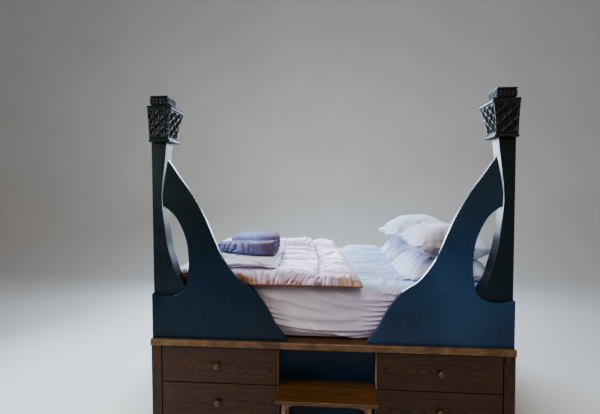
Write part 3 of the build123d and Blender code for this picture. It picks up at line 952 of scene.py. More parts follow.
# Stations along the outer line: close on the drop, wider over the top.
t_out = np.concatenate([np.linspace(0, 0.182, 96, endpoint=False), np.linspace(0.182, 0.60, 106, endpoint=False), np.linspace(0.60, 1.0, 60)])
loop_out, loop_in = [], []
for x in xs:
    line = spline(duvet_section(x), 900)
    line = np.stack([np.interp(t_out, np.linspace(0, 1, 900), line[:, i]) for i in range(2)], 1)
    k = smooth(0.70, 0.79, abs(x))
    inner = np.array([[0.110, 0.571 * (1 - k) + 0.836 * k], [0.1175, 0.60 * (1 - k) + 0.838 * k], [0.1185, 0.74 * (1 - k) + 0.836 * k], [0.1188, 0.80 * (1 - k) + 0.834 * k], [0.124, 0.8225], [0.30, 0.822], [0.9, 0.822], [1.45, 0.822], [1.575, 0.824]])
    inner[:5, 0] += k * 0.05 * np.array([1, 1, 1, 1, 1])
    loop_out.append(line)
    loop_in.append(spline(inner, NI))
loop_out, loop_in = np.array(loop_out), np.array(loop_in)
X = np.repeat(xs[:, None], NO, 1)
# Displacement along the outward normal of the section.
tan = np.gradient(loop_out, axis=1)
tan /= np.linalg.norm(tan, axis=2)[..., None]
nrm = np.stack([-tan[..., 1], tan[..., 0]], -1)   # (y, z), pointing out of the front and up
arc = np.concatenate([np.zeros((NX, 1)), np.cumsum(np.linalg.norm(np.diff(loop_out, axis=1), axis=2), axis=1)], 1)
Y, Z = loop_out[..., 0], loop_out[..., 1]


def wrinkle(X, V, pts, width, height, sharp=1.0, skew=0.0):
    """Ridge along a line of (x, v) points, tapering at both ends."""
    line = spline(pts, 60)
    t = np.linspace(0, 1, 60)
    w = width * (0.55 + 0.45 * np.sin(np.pi * t))
    h = height * np.sin(np.pi * np.clip(t, 0.02, 0.98)) ** 0.6
    x0, x1 = line[:, 0].min() - 3 * width, line[:, 0].max() + 3 * width
    v0, v1 = line[:, 1].min() - 3 * width, line[:, 1].max() + 3 * width
    out = np.zeros_like(X)
    mask = (X > x0) & (X < x1) & (V > v0) & (V < v1)
    if not mask.any():
        return out
    xm, vm = X[mask], V[mask]
    d2 = (xm[:, None] - line[None, :, 0]) ** 2 + (vm[:, None] - line[None, :, 1]) ** 2
    k = d2.argmin(1)
    tangent = np.gradient(line, axis=0)
    tangent /= np.linalg.norm(tangent, axis=1)[:, None]
    side = (xm - line[k, 0]) * -tangent[k, 1] + (vm - line[k, 1]) * tangent[k, 0]
    d = np.sqrt(d2[np.arange(len(k)), k]) / w[k]
    lopsided = 1 + skew * np.tanh(side / w[k])
    out[mask] = h[k] * np.exp(-(d / lopsided) ** (2 / sharp))
    return out




def crease(X, V, pts, width, height, step=0.0022):
    """Fold along a line of (x, v) points: full above it, with a sharp step down at the line and a softer rise below."""
    line = spline(pts, 80)
    t = np.linspace(0, 1, 80)
    h = height * np.sin(np.pi * np.clip(t, 0.01, 0.99)) ** 0.7
    w = width * (0.6 + 0.4 * np.sin(np.pi * t))
    reach = 4 * width
    mask = (X > line[:, 0].min() - reach) & (X < line[:, 0].max() + reach) & (V > line[:, 1].min() - reach) & (V < line[:, 1].max() + reach)
    out = np.zeros_like(X)
    if not mask.any():
        return out
    xm, vm = X[mask], V[mask]
    d2 = (xm[:, None] - line[None, :, 0]) ** 2 + (vm[:, None] - line[None, :, 1]) ** 2
    k = d2.argmin(1)
    tg = np.gradient(line, axis=0)
    tg /= np.linalg.norm(tg, axis=1)[:, None]
    tg *= np.sign(tg[:, :1] + 1e-9)
    side = (xm - line[k, 0]) * -tg[k, 1] + (vm - line[k, 1]) * tg[k, 0]
    past = np.abs((xm - line[k, 0]) * tg[k, 0] + (vm - line[k, 1]) * tg[k, 1])
    up = smooth(-step, step, side)
    prof = up * np.exp(-np.clip(side, 0, None) / w[k]) - (1 - up) * 0.55 * np.exp(np.clip(side, None, 0) / (0.55 * w[k]))
    out[mask] = h[k] * prof * np.exp(-(past / (0.6 * width)) ** 2)
    return out


bumps = np.zeros_like(X)
# Height above the board stands for v on the drop. Drag lines run up towards both panels.
V = np.where(Y < 0.2, Z, 0.885 + (Y - 0.1))
rng = np.random.RandomState(11)
FOLDS = [
    # (points, width, height)
    ([(-0.46, 0.715), (-0.36, 0.668), (-0.24, 0.640), (-0.08, 0.624), (0.10, 0.620), (0.24, 0.626), (0.36, 0.650), (0.42, 0.672)], 0.026, 0.0125),
    ([(-0.40, 0.672), (-0.30, 0.636), (-0.16, 0.606), (-0.02, 0.596), (0.10, 0.592), (0.22, 0.598), (0.34, 0.620)], 0.016, 0.0095),
    ([(-0.34, 0.630), (-0.24, 0.606), (-0.10, 0.586)], 0.012, 0.0065),
    ([(-0.475, 0.775), (-0.40, 0.724), (-0.31, 0.690), (-0.20, 0.668)], 0.016, 0.0095),
    ([(-0.50, 0.815), (-0.43, 0.764), (-0.35, 0.724), (-0.27, 0.700)], 0.016, 0.0085),
    ([(-0.54, 0.850), (-0.46, 0.800), (-0.37, 0.758), (-0.27, 0.730)], 0.018, 0.0080),
    ([(-0.61, 0.872), (-0.52, 0.842), (-0.42, 0.800), (-0.32, 0.770)], 0.020, 0.0070),
    ([(0.20, 0.650), (0.30, 0.664), (0.41, 0.700)], 0.012, 0.0080),
    ([(0.20, 0.676), (0.32, 0.690), (0.425, 0.724)], 0.012, 0.0085),
    ([(0.18, 0.704), (0.32, 0.715), (0.44, 0.752)], 0.013, 0.0088),
    ([(0.22, 0.736), (0.35, 0.742), (0.47, 0.782)], 0.013, 0.0082),
    ([(0.18, 0.768), (0.34, 0.768), (0.50, 0.812)], 0.015, 0.0075),
    ([(0.24, 0.802), (0.38, 0.798), (0.54, 0.842)], 0.015, 0.0070),
    ([(0.30, 0.838), (0.44, 0.830), (0.58, 0.868)], 0.014, 0.0060),
]
for pts, w, h in FOLDS:
    bumps += (1.0 if pts[0][0] < -0.47 else 1.5) * crease(X, V, pts, w, h) * (Y < 0.2)
DRAGS = [
    ([(0.04, 0.850), (0.16, 0.812), (0.32, 0.792)], 0.022, 0.0050),
    ([(-0.10, 0.842), (0.04, 0.790), (0.22, 0.752)], 0.028, 0.0060),
    ([(-0.32, 0.832), (-0.18, 0.780), (0.00, 0.738)], 0.030, 0.0060),
    ([(-0.42, 0.852), (-0.34, 0.815), (-0.22, 0.785)], 0.020, 0.0050),
    ([(-0.30, 0.720), (-0.12, 0.695), (0.08, 0.690), (0.22, 0.700)], 0.030, 0.0050),
    ([(-0.12, 0.655), (0.00, 0.600)], 0.012, 0.0035),
    ([(0.02, 0.610), (0.14, 0.584), (0.22, 0.578)], 0.012, 0.0050),
]
for pts, w, h in DRAGS:
    bumps += 2.6 * wrinkle(X, V, pts, w, h, 1.1, 0.35) * (Y < 0.2)
bumps += 0.0065 * fractal(X * 5, V * 9, 3, 3) * smooth(0.57, 0.63, Z) * (Y < 0.2)
# Short gathers hanging from the edge of the top towards the right.
for k in range(17):
    x0 = 0.30 + 0.27 * (k + 0.6 * rng.rand()) / 17
    pts = [(x0 + 0.010 * rng.rand(), 0.872), (x0 - 0.010, 0.852), (x0 - 0.028 - 0.02 * rng.rand(), 0.835 - 0.012 * rng.rand())]
    bumps += wrinkle(X, V, pts, 0.006 + 0.003 * rng.rand(), 0.0035 + 0.0025 * rng.rand(), 1.1, 0.4) * (Y < 0.2)
# Long soft wrinkles across the open sheet, running in under the pillows, and small ones beside them.
for k in range(24):
    y0 = 0.10 + 1.40 * (k + 0.8 * rng.rand()) / 24
    x0 = 0.10 + 0.16 * rng.rand()
    x1 = x0 + 0.24 + 0.20 * rng.rand()
    lift = 0.05 * (rng.rand() - 0.5)
    pts = [(x0, 0.785 + y0), (x0 + 0.4 * (x1 - x0), 0.785 + y0 + 0.4 * lift + 0.014 * (rng.rand() - 0.5)), (x1, 0.785 + y0 + lift)]
    if k % 2:
        bumps += 1.6 * crease(X, V, pts, 0.016 + 0.016 * rng.rand(), 0.0045 + 0.0045 * rng.rand(), 0.005) * (Y > 0.1)
    else:
        bumps += 1.5 * wrinkle(X, V, pts, 0.012 + 0.014 * rng.rand(), 0.006 + 0.006 * rng.rand(), 1.1, 0.4) * (Y > 0.1)
for k in range(20):
    y0 = 0.10 + 0.80 * rng.rand()
    x0 = 0.33 + 0.15 * rng.rand()
    a = 0.3 + 1.5 * rng.rand()
    l = 0.04 + 0.06 * rng.rand()
    pts = [(x0 - l * math.cos(a), 0.785 + y0 - l * math.sin(a)), (x0, 0.785 + y0 + 0.01), (x0 + l * math.cos(a), 0.785 + y0 + l * math.sin(a))]
    bumps += wrinkle(X, V, pts, 0.008 + 0.006 * rng.rand(), 0.005 + 0.005 * rng.rand(), 1.1, 0.4) * (Y > 0.1)
bumps += 0.0035 * fractal(X * 7, V * 7, 21, 3) * (Y >= 0.12)
bumps += 0.032 * smooth(0.85, 1.45, Y) * smooth(0.08, 0.20, X) * smooth(0.50, 0.40, X)
bumps *= 1 - smooth(0.92, 0.99, np.abs(X)) * 0.8
# Under the quilt and towels it lies flatter.
covered = smooth(0.16, 0.10, X) * smooth(0.10, 0.16, Y)
bumps = np.where(covered > 0, bumps * (1 - 0.75 * covered), bumps)
loop_out = loop_out + nrm * bumps[..., None]
# The panels' back faces and the posts limit how far the drop may come forward.
loop_out[..., 0] = np.maximum(loop_out[..., 0], np.where(np.abs(X) > 0.74, 0.124, 0.034))
# Rounded side edges: the outer line comes down to meet the underside.
ends = 1 - smooth(0.955, 1.0, np.abs(X)) ** 2
side = np.clip((np.abs(xs) - 0.955) / 0.045, 0, 1)
drop = (1 - np.sqrt(np.clip(1 - side ** 2, 0, 1)))[:, None, None]
at_out, at_in = np.linspace(0, 1, NO), np.linspace(0, 1, NI)
far_in = np.array([[np.interp(t_out, at_in, row[:, i]) for i in range(2)] for row in loop_in]).transpose(0, 2, 1)
far_out = np.array([[np.interp(at_in, t_out, row[:, i]) for i in range(2)] for row in loop_out]).transpose(0, 2, 1)
loop_out, loop_in = loop_out * (1 - 0.55 * drop) + far_in * (0.55 * drop), loop_in * (1 - 0.45 * drop) + far_out * (0.45 * drop)
outer3 = np.stack([X, loop_out[..., 0] - MID, loop_out[..., 1]], -1)
inner3 = np.stack([np.repeat(xs[:, None], NI, 1), loop_in[..., 0] - MID, loop_in[..., 1]], -1)[:, ::-1]
loops = np.concatenate([outer3, inner3], 1)
n_loop = loops.shape[1]
verts = loops.reshape(-1, 3)
i0 = (np.arange(NX - 1)[:, None] * n_loop + np.arange(n_loop)[None]).ravel()
i1 = (np.arange(NX - 1)[:, None] * n_loop + (np.arange(n_loop)[None] + 1) % n_loop).ravel()
faces = np.stack([i0, i1, i1 + n_loop, i0 + n_loop], -1)
faces = [tuple(f) for f in faces] + [tuple(range(n_loop)), tuple(range(NX * n_loop - 1, (NX - 1) * n_loop - 1, -1))]
arc_in = np.linspace(arc[:, -1], arc[:, 0], NI, axis=1) + 2.5
uv = np.stack([np.repeat(xs[:, None], n_loop, 1), np.concatenate([arc, arc_in], 1)], -1).reshape(-1, 2)
duvet = outward(make_object("duvet_cover", verts, faces, uv, [WHITE]))
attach(duvet, BED)
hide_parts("duvet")
print("duvet done")


# ------------------------------------------------- cloth simulation -------
def run_cloth(o, frames, mass=0.05, pressure=0.0, stiff=15.0, shear=5.0, bend=0.3, shrink=0.0, gravity=1.0, quality=5, pin=None, colliders=(), distance=0.003, friction=20.0):
    """Runs Blender's cloth on a mesh and keeps the last frame as its mesh."""
    for c in colliders:
        c.modifiers.new("hit", "COLLISION")
        c.collision.thickness_outer = 0.003
        c.collision.cloth_friction = friction
        c.collision.damping = 0.4
    md = o.modifiers.new("cloth", "CLOTH")
    st = md.settings
    st.quality = quality
    st.mass = mass
    st.air_damping = 1.0
    st.tension_stiffness = st.compression_stiffness = stiff
    st.shear_stiffness = shear
    st.bending_stiffness = bend
    st.tension_damping = st.compression_damping = st.shear_damping = 5.0
    st.bending_damping = 0.5
    st.effector_weights.gravity = gravity
    if pressure:
        st.use_pressure = True
        st.uniform_pressure_force = pressure
    st.shrink_min = shrink
    if pin:
        st.vertex_group_mass = pin
        st.pin_stiffness = 1.0
    md.collision_settings.use_collision = bool(colliders)
    md.collision_settings.distance_min = distance
    md.collision_settings.collision_quality = 2
    scene.frame_start, scene.frame_end = 1, frames
    md.point_cache.frame_start, md.point_cache.frame_end = 1, frames
    for f in range(1, frames + 1):
        scene.frame_set(f)
    bake_modifiers(o)
    for c in colliders:
        c.modifiers.clear()
    scene.frame_set(1)
    return o


def flat_collider(name, corners):
    return make_object(name, corners, [(0, 1, 2, 3)])


def drop_object(o):
    me = o.data
    bpy.data.objects.remove(o)
    bpy.data.meshes.remove(me)


def cubic(values, at, new):
    """Catmull-Rom samples of rows of values, given at stations at, for the stations new."""
    k = np.clip(np.searchsorted(at, new, side="right") - 1, 0, len(at) - 2)
    t = ((new - at[k]) / (at[k + 1] - at[k])).reshape((-1,) + (1,) * (values.ndim - 1))
    p0, p1, p2, p3 = values[np.clip(k - 1, 0, None)], values[k], values[k + 1], values[np.clip(k + 2, None, len(at) - 1)]
    return 0.5 * (2 * p1 + (p2 - p0) * t + (2 * p0 - 5 * p1 + 4 * p2 - p3) * t ** 2 + (3 * p1 - p0 - 3 * p2 + p3) * t ** 3)


def stations(marks, steps):
    """Evenly spaced stations between marks, and the index of each mark."""
    out, at = [marks[0]], [0]
    for (a, b), step in zip(zip(marks, marks[1:]), steps):
        k = max(2, int(round((b - a) / step)))
        out += list(np.linspace(a, b, k + 1)[1:])
        at.append(len(out) - 1)
    return np.array(out), at


def smooth_normals(grid, rounds=6):
    du, dv = np.gradient(grid, axis=0), np.gradient(grid, axis=1)
    n = np.cross(du, dv)
    n /= np.linalg.norm(n, axis=2)[..., None] + 1e-12
    for _ in range(rounds):
        n[1:-1, 1:-1] = (n[1:-1, 1:-1] * 2 + n[:-2, 1:-1] + n[2:, 1:-1] + n[1:-1, :-2] + n[1:-1, 2:]) / 6
    return n / (np.linalg.norm(n, axis=2)[..., None] + 1e-12)


def folds(s, across, seed, pitch, fan=0.0, wander=0.9):
    """Rounded folds with sharp valleys between them: 0 in a valley, up to 1 on a crest."""
    ph = s / pitch + wander * noise2(s / pitch * 0.45, across * 4.0, seed) + fan * across * noise2(s * 4.0, 0.5, seed + 3)
    ph = ph + 0.35 * noise2(s / pitch * 0.9, across * 14, seed + 7)
    a = 0.62 + 0.38 * noise2(s / pitch * 0.7, across * 5, seed + 11)
    return a * np.abs(np.sin(np.pi * ph)) ** 0.9


# ----------------------------------------------------------------- quilt ----
# Feather quilt: two skins sewn together at the border and along the seams,
# blown up by the filling, with gathered borders at front and back.
SEAM_F, SEAM_B, SEAM_R, SEAM_L = 0.165, 0.255, 0.235, 0.20
QW, QLEN = 1.132, 1.461
mid_len = QLEN - SEAM_F - SEAM_B
vmarks = [0, SEAM_F] + [SEAM_F + mid_len * c for c in (0.15, 0.31, 0.50, 0.70, 0.86, 1.0)] + [QLEN]
umarks = [0, SEAM_L, QW - SEAM_R, QW]
us, uat = stations(umarks, [0.0125] * 3)
vs, vat = stations(vmarks, [0.0125] * 8)
nu, nv = len(us), len(vs)
uu, vv = us[:, None] * np.ones((1, nv)), np.ones((nu, 1)) * vs[None]
t = vv / QLEN
xq = -0.962 + (0.170 - 0.108 * t + 0.962) * uu / QW
y_front = 0.050 + 0.082 * smooth(0.30, 0.10, uu / QW)     # the far left corner is turned in behind the post
bow = np.zeros_like(vv)
for k, j in enumerate(vat[2:-2]):
    w = np.exp(-((vv - vs[j]) / 0.09) ** 2)
    bow += w * (0.022 * np.cos((uu / QW - 0.5) * 3.0 + k * 0.9) + 0.012 * noise2(uu * 5, k * 3.1, 4)) * smooth(0.0, 0.08, uu - SEAM_L) * smooth(0.0, 0.08, QW - SEAM_R - uu)
yq = y_front + (1.497 - y_front) * t + bow
sewn = np.zeros((nu, nv), bool)
sewn[0] = sewn[-1] = True
sewn[:, 0] = sewn[:, -1] = True
sewn[:, vat[1]] = sewn[:, vat[-2]] = True
sewn[uat[1]] = sewn[uat[2]] = True
for j in vat[2:-2]:
    sewn[uat[1]:uat[2] + 1, j] = True
z0 = 0.8985
rise = np.where(sewn, 0.0, 0.008) + 0.0015 * noise2(uu * 60, vv * 60, 8)
top = np.stack([xq, yq - MID, z0 + rise + 0.004], -1)
bot = np.stack([xq, yq - MID, z0 - np.where(sewn, 0, 0.004)], -1)
bot[sewn] = top[sewn]
idx_top = np.arange(nu * nv).reshape(nu, nv)
idx_bot = idx_top.copy()
own = ~sewn
idx_bot[own] = nu * nv + np.arange(own.sum())


def grid_quads(ix, flip=False):
    a, b, c, d = ix[:-1, :-1], ix[1:, :-1], ix[1:, 1:], ix[:-1, 1:]
    return np.stack([a, b, c, d] if not flip else [d, c, b, a], -1).reshape(-1, 4)


blank = make_object("quilt_sim", np.vstack([top.reshape(-1, 3), bot[own]]), np.vstack([grid_quads(idx_top), grid_quads(idx_bot, True)]))
ground = flat_collider("sim_ground", [(-1.3, -0.9, 0.8852), (1.3, -0.9, 0.8852), (1.3, 1.0, 0.8852), (-1.3, 1.0, 0.8852)])
stop = flat_collider("sim_stop", [(-1.3, 1.5 - MID, 0.5), (1.3, 1.5 - MID, 0.5), (1.3, 1.5 - MID, 1.4), (-1.3, 1.5 - MID, 1.4)])
run_cloth(blank, 26, 0.05, 4.6, 15, 4, 0.08, -0.11, colliders=[ground, stop])
co = np.array([v.co for v in blank.data.vertices])
skin_t, skin_b = co[idx_top], co[idx_bot]
drop_object(blank)
drop_object(stop)
fu, _ = stations([0, QW], [0.0056])
fv, _ = stations([0, SEAM_F, QLEN - SEAM_B, QLEN], [0.0060, 0.0080, 0.0072])


def resample(g):
    return cubic(cubic(g, us, fu).transpose(1, 0, 2), vs, fv).transpose(1, 0, 2)


top, bot = resample(skin_t), resample(skin_b)
nu, nv = len(fu), len(fv)
uu, vv = fu[:, None] * np.ones((1, nv)), np.ones((nu, 1)) * fv[None]
d_f, d_b, d_r, d_l = vv, QLEN - vv, QW - uu, uu
s_f, s_b, s_r, s_l = d_f - SEAM_F, d_b - SEAM_B, d_r - SEAM_R, d_l - SEAM_L
# The stuffed front border is heavy: its rim hangs low and the underside lies flat.
rim_z = top[:, 0, 2].copy()
fall = (rim_z - 0.8895 - 0.013 * smooth(0.50, 0.12, fu))[:, None] * smooth(0.055, 0.0, d_f)
top[..., 2] -= fall
bot[..., 2] -= fall
bot[..., 2] = np.maximum(bot[..., 2], 0.8872)
nrm = smooth_normals(top)
disp = np.zeros_like(uu)
m = smooth(0.004, -0.010, s_f) * (0.30 * smooth(0.02, 0.05, d_r) + 0.70 * smooth(0.085, 0.135, d_r)) * smooth(0.02, 0.05, d_l)
g = folds(uu, d_f, 31, 0.0245, 40.0)
valley = m * np.clip(1.15 - 1.25 * g, 0, 1)
ridge = m * smooth(0.72, 0.98, g) * smooth(0.0, 0.02, d_f)
disp += m * (0.5 + 0.5 * smooth(-0.02, -0.06, s_f)) * 0.028 * (g - 0.5) * smooth(0.0, 0.010, d_f)
m = smooth(0.004, -0.012, s_b) * smooth(0.20, 0.26, d_r)
g = folds(uu, d_b, 57, 0.034, 26.0)
disp += m * (0.5 + 0.5 * smooth(-0.02, -0.08, s_b)) * 0.020 * (g - 0.45) * smooth(0.0, 0.012, d_b)
for j in vat[1:-1]:
    d0 = vv - vs[j]
    inside = smooth(-0.01, 0.02, s_l) * smooth(-0.01, 0.02, s_r) if j not in (vat[1], vat[-2]) else 1.0
    g = folds(uu, d0, 100 + int(j), 0.030, 0.0, 1.2)
    disp += inside * (np.exp(-np.abs(d0) / 0.028) * 0.0135 * (g - 0.45) * smooth(0.0, 0.010, np.abs(d0)) - 0.008 * np.exp(-(d0 / 0.006) ** 2))
for d0, seed in ((uu - us[uat[1]], 5), (uu - us[uat[2]], 6)):
    g = folds(vv, d0, seed + 200, 0.034, 0.0, 1.2)
    disp += np.exp(-np.abs(d0) / 0.026) * 0.010 * (g - 0.45) * smooth(0.0, 0.010, np.abs(d0)) - 0.007 * np.exp(-(d0 / 0.006) ** 2)
# Tied places across the side borders.
for c, lean in ((0.31, 0.05), (0.56, -0.04), (0.80, 0.03)):
    for far, d_side, half in ((s_r, d_r, SEAM_R), (s_l, d_l, SEAM_L)):
        d0 = vv - (SEAM_F + mid_len * c + lean * (d_side - half / 2) / half + 0.008 * noise2(d_side * 14, c * 9, 12))
        on = smooth(0.01, -0.02, far)
        g = folds(d_side, d0, int(c * 900), 0.026, 0.0, 1.2)
        disp += on * (0.007 * np.exp(-np.abs(d0) / 0.022) * (g - 0.45) - 0.012 * np.exp(-(d0 / 0.011) ** 2))
g = folds(vv, d_r, 301, 0.036, 0.0, 1.2)
disp += np.exp(-d_r / 0.03) * 0.006 * (g - 0.5)
# Loose creases over the middle.
CREASES = [
    ([(0.30, 0.36), (0.52, 0.39), (0.78, 0.37)], 0.012, -0.008), ([(0.24, 0.30), (0.40, 0.285), (0.62, 0.31)], 0.012, 0.008),
    ([(0.50, 0.47), (0.70, 0.455), (0.86, 0.48)], 0.013, 0.009), ([(0.28, 0.62), (0.50, 0.60), (0.66, 0.63)], 0.014, 0.008),
    ([(0.60, 0.78), (0.78, 0.80), (0.88, 0.77)], 0.014, -0.008), ([(0.35, 0.92), (0.55, 0.90), (0.74, 0.93)], 0.015, 0.008),
    ([(0.95, 0.30), (1.02, 0.34), (1.10, 0.33)], 0.014, 0.008), ([(0.93, 0.62), (1.00, 0.68), (1.07, 0.78)], 0.018, 0.009),
    ([(0.96, 1.02), (1.02, 0.96), (1.09, 0.95)], 0.018, 0.008), ([(0.68, 0.24), (0.82, 0.27), (0.95, 0.25)], 0.012, 0.008),
]
for pts, w, h in CREASES:
    disp += 0.6 * wrinkle(uu, vv, pts, w, h, 1.1, 0.35) + crease(uu, vv, pts, w, abs(h), 0.003)
disp += 0.0030 * fractal(uu * 9, vv * 14, 61, 3) + 0.0012 * fractal(uu * 30, vv * 30, 55, 3)
top[..., 2] += smooth(0.30, 0.03, d_b) * (0.032 + 0.016 * noise2(uu * 6, 1.7, 15)) * smooth(0.0, 0.05, d_r)
border = np.zeros((nu, nv), bool)
border[0] = border[-1] = True
border[:, 0] = border[:, -1] = True
top = top + nrm * (disp * np.where(border, 0.0, 1.0))[..., None]
bot[..., 2] -= np.where(border, 0, 0.0015)
top[..., 2] = np.where(border, top[..., 2], np.maximum(top[..., 2], bot[..., 2] + 0.003))
bot[border] = top[border]
# The left panel's back face keeps the front border in, and the left post its corner.
for skin in (top, bot):
    limit = 0.0365 - 0.06 * smooth(-0.465, -0.39, skin[..., 0]) + 0.0875 * smooth(-0.815, -0.835, skin[..., 0])
    skin[..., 1] = np.maximum(skin[..., 1], limit - MID)
left_part = smooth(0.60, 0.42, uu)
# Orange shows low on the border and in the valleys of the gathers, pink on their crests.
reach = 0.012 + 0.046 * left_part + 0.014 * noise2(uu * 22, 1.0, 4)
low_band = smooth(reach + 0.016, reach - 0.004, vv)
peach = low_band * (0.18 + 0.26 * left_part + 0.62 * valley) + valley * smooth(0.12, 0.03, d_f) * (0.30 + 0.30 * left_part)
patch = (0.88 + 0.16 * noise2(uu * 60, vv * 9, 6)) * smooth(0.165, 0.105, d_r + 0.026 * noise2(uu * 55, vv * 7, 4)) * smooth(0.136, 0.084, d_f + 0.018 * noise2(uu * 48, vv * 8, 5))
peach = np.clip(np.maximum(peach, patch), 0, 1)
# Painted shade at the bottom of seams and between gathers, and a painted highlight on the gathers' ridges.
sunk = 0.60 * valley - 0.9 * ridge
for j in vat[1:-1]:
    inside = smooth(-0.01, 0.02, s_l) * smooth(-0.01, 0.02, s_r) if j not in (vat[1], vat[-2]) else 1.0
    sunk = np.maximum(sunk, inside * np.exp(-((vv - vs[j]) / 0.0085) ** 2))
for j in uat[1:-1]:
    sunk = np.maximum(sunk, np.exp(-((uu - us[j]) / 0.0085) ** 2) * smooth(-0.02, 0.02, s_f))
sunk = np.clip(sunk, -1, 1)


def quilt_cloth():
    n = Nodes("quilt_satin")
    p = n.pos()
    a = n.new("ShaderNodeAttribute", attribute_name="peach")
    drift = n.noise(p, 5.0, 4, 0.6)
    pink = n.ramp(drift, [(0.3, lin(221, 199, 222)), (0.7, lin(229, 217, 241))])
    orange = n.ramp(drift, [(0.3, lin(134, 94, 50)), (0.7, lin(162, 122, 74))])
    thread = n.noise(n.map(n.uv(), (40, 1400, 1)), 1.0, 2, 0.5)
    base = n.mix(a.outputs["Fac"], pink, orange)
    base = n.mix(n.range(thread, 0.45, 0.8, 0.0, 0.12), base, lin(206, 172, 176))
    sunk = n.new("ShaderNodeAttribute", attribute_name="sunk")
    # Painted shade where sunk is above 0, painted highlight where it is below 0.
    base = n.mix(n.range(sunk.outputs["Fac"], 0.0, 1.0, 0.0, 1.0), base, n.mix(1.0, base, lin(166, 140, 158), "MULTIPLY"))
    base = n.mix(n.range(sunk.outputs["Fac"], -1.0, 0.0, 0.85, 0.0), base, lin(242, 240, 250))
    n.set(Base_Color=base, Roughness=n.range(thread, 0.3, 0.7, 0.42, 0.54))
    small = n.noise(p, 60, 4, 0.6, 0.3)
    nb = n.bump(small, 0.25, 0.004)
    n.set(Normal=n.bump(thread, 0.15, 0.0003, nb))
    n.bsdf.inputs["Sheen Weight"].default_value = 0.3
    n.bsdf.inputs["Sheen Roughness"].default_value = 0.35
    n.bsdf.inputs["Specular IOR Level"].default_value = 0.45
    return n.mat


quilt = lens_shell("quilt_body", top, bot, np.stack([uu, vv], -1), [quilt_cloth()])
layer = quilt.data.attributes.new("peach", "FLOAT", "POINT")
layer.data.foreach_set("value", np.concatenate([peach.ravel(), np.full((~border).sum(), 0.9)]).astype(np.float32))
layer = quilt.data.attributes.new("sunk", "FLOAT", "POINT")
layer.data.foreach_set("value", np.concatenate([sunk.ravel(), np.zeros((~border).sum())]).astype(np.float32))
rim = np.vstack([top[:, 0], top[-1, 1:], top[-2::-1, -1], top[0, -2:0:-1]])
quilt_rim = tube("quilt_piping", rim[::2], 0.0042, [PIPING], True, 6)
for o in (quilt, quilt_rim):
    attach(o, BED)
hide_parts("quilt")
print("quilt done")


# --------------------------------------------------------------- pillows ----
def pillow(name, node, cut, centre, z, colliders, seed, lean=(0.0, 0.0), pressure=5.0, frames=24, press=1.0, bend=0.25, ear=0.035, turn=0.0, fit=None):
    """Pillow: two flat skins sewn at the edge, blown up, resting on what lies below."""
    w, l = cut
    cell = 0.0135
    nu, nv = int(w / cell), int(l / cell)
    a = np.linspace(-1, 1, nu)[:, None] * np.ones((1, nv))
    b = np.ones((nu, 1)) * np.linspace(-1, 1, nv)[None]
    k = 1 - ear * (a * b) ** 4
    px, py = a * w / 2 * k, b * l / 2 * k
    dome = np.clip(1 - a ** 4, 0, 1) * np.clip(1 - b ** 4, 0, 1)
    jit = 0.003 * noise2(px * 24, py * 24, seed)
    zc = lean[0] * px + lean[1] * py
    zc = zc - zc.min() + z
    gx, gy = px * math.cos(turn) - py * math.sin(turn) + centre[0], px * math.sin(turn) + py * math.cos(turn) + centre[1] - MID
    top = np.stack([gx, gy, zc + 0.03 + 0.028 * dome + jit], -1)
    bot = np.stack([gx, gy, zc + 0.03 - 0.024 * dome], -1)
    o = lens_shell(name, top, bot, np.stack([px, py], -1), [PILLOW_WHITE])
    run_cloth(o, frames, 0.05, pressure, 15, 5, bend, -0.05, gravity=press, colliders=colliders, distance=0.004)
    co = np.array([v.co for v in o.data.vertices])
    lo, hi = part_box(node)
    print(name, "swelled to", (co.min(0) + [0, MID, 0]).round(3), (co.max(0) + [0, MID, 0]).round(3), "box", [round(x, 3) for x in (lo.x, lo.y + MID, lo.z, hi.x, hi.y + MID, hi.z)])
    # Moved out to the end of the bed, and fluffed up to its height.
    co[:, 0] -= co[:, 0].max() - (hi.x - 0.002)
    co[:, 1] -= min(0.0, co[:, 1].min() - lo.y) + max(0.0, co[:, 1].max() - hi.y)
    if fit:
        a0, a1 = co[:, 2].min(), co[:, 2].max()
        co[:, 2] = fit[0] + (co[:, 2] - a0) * (fit[1] - fit[0]) / (a1 - a0)
    if z < 0.95:
        # The corners of a pillow at the bottom sink onto the sheet.
        for i, j in ((0, 0), (0, nv - 1), (nu - 1, 0), (nu - 1, nv - 1)):
            at = co[i * nv + j].copy()
            co[:, 2] -= max(0.0, at[2] - 0.893) * np.exp(-((co[:, 0] - at[0]) ** 2 + (co[:, 1] - at[1]) ** 2) / 0.085 ** 2)
        co[:, 2] = np.maximum(co[:, 2], 0.8885)
    for v, c in zip(o.data.vertices, co):
        v.co = c
    ring = np.concatenate([np.arange(nu) * nv, (nu - 1) * nv + np.arange(1, nv), np.arange(nu - 2, -1, -1) * nv + nv - 1, np.arange(nv - 2, 0, -1)])
    o["ring"] = [int(i) for i in ring]
    o["open_end"] = [int(i) for i in np.arange(nv)]
    return o


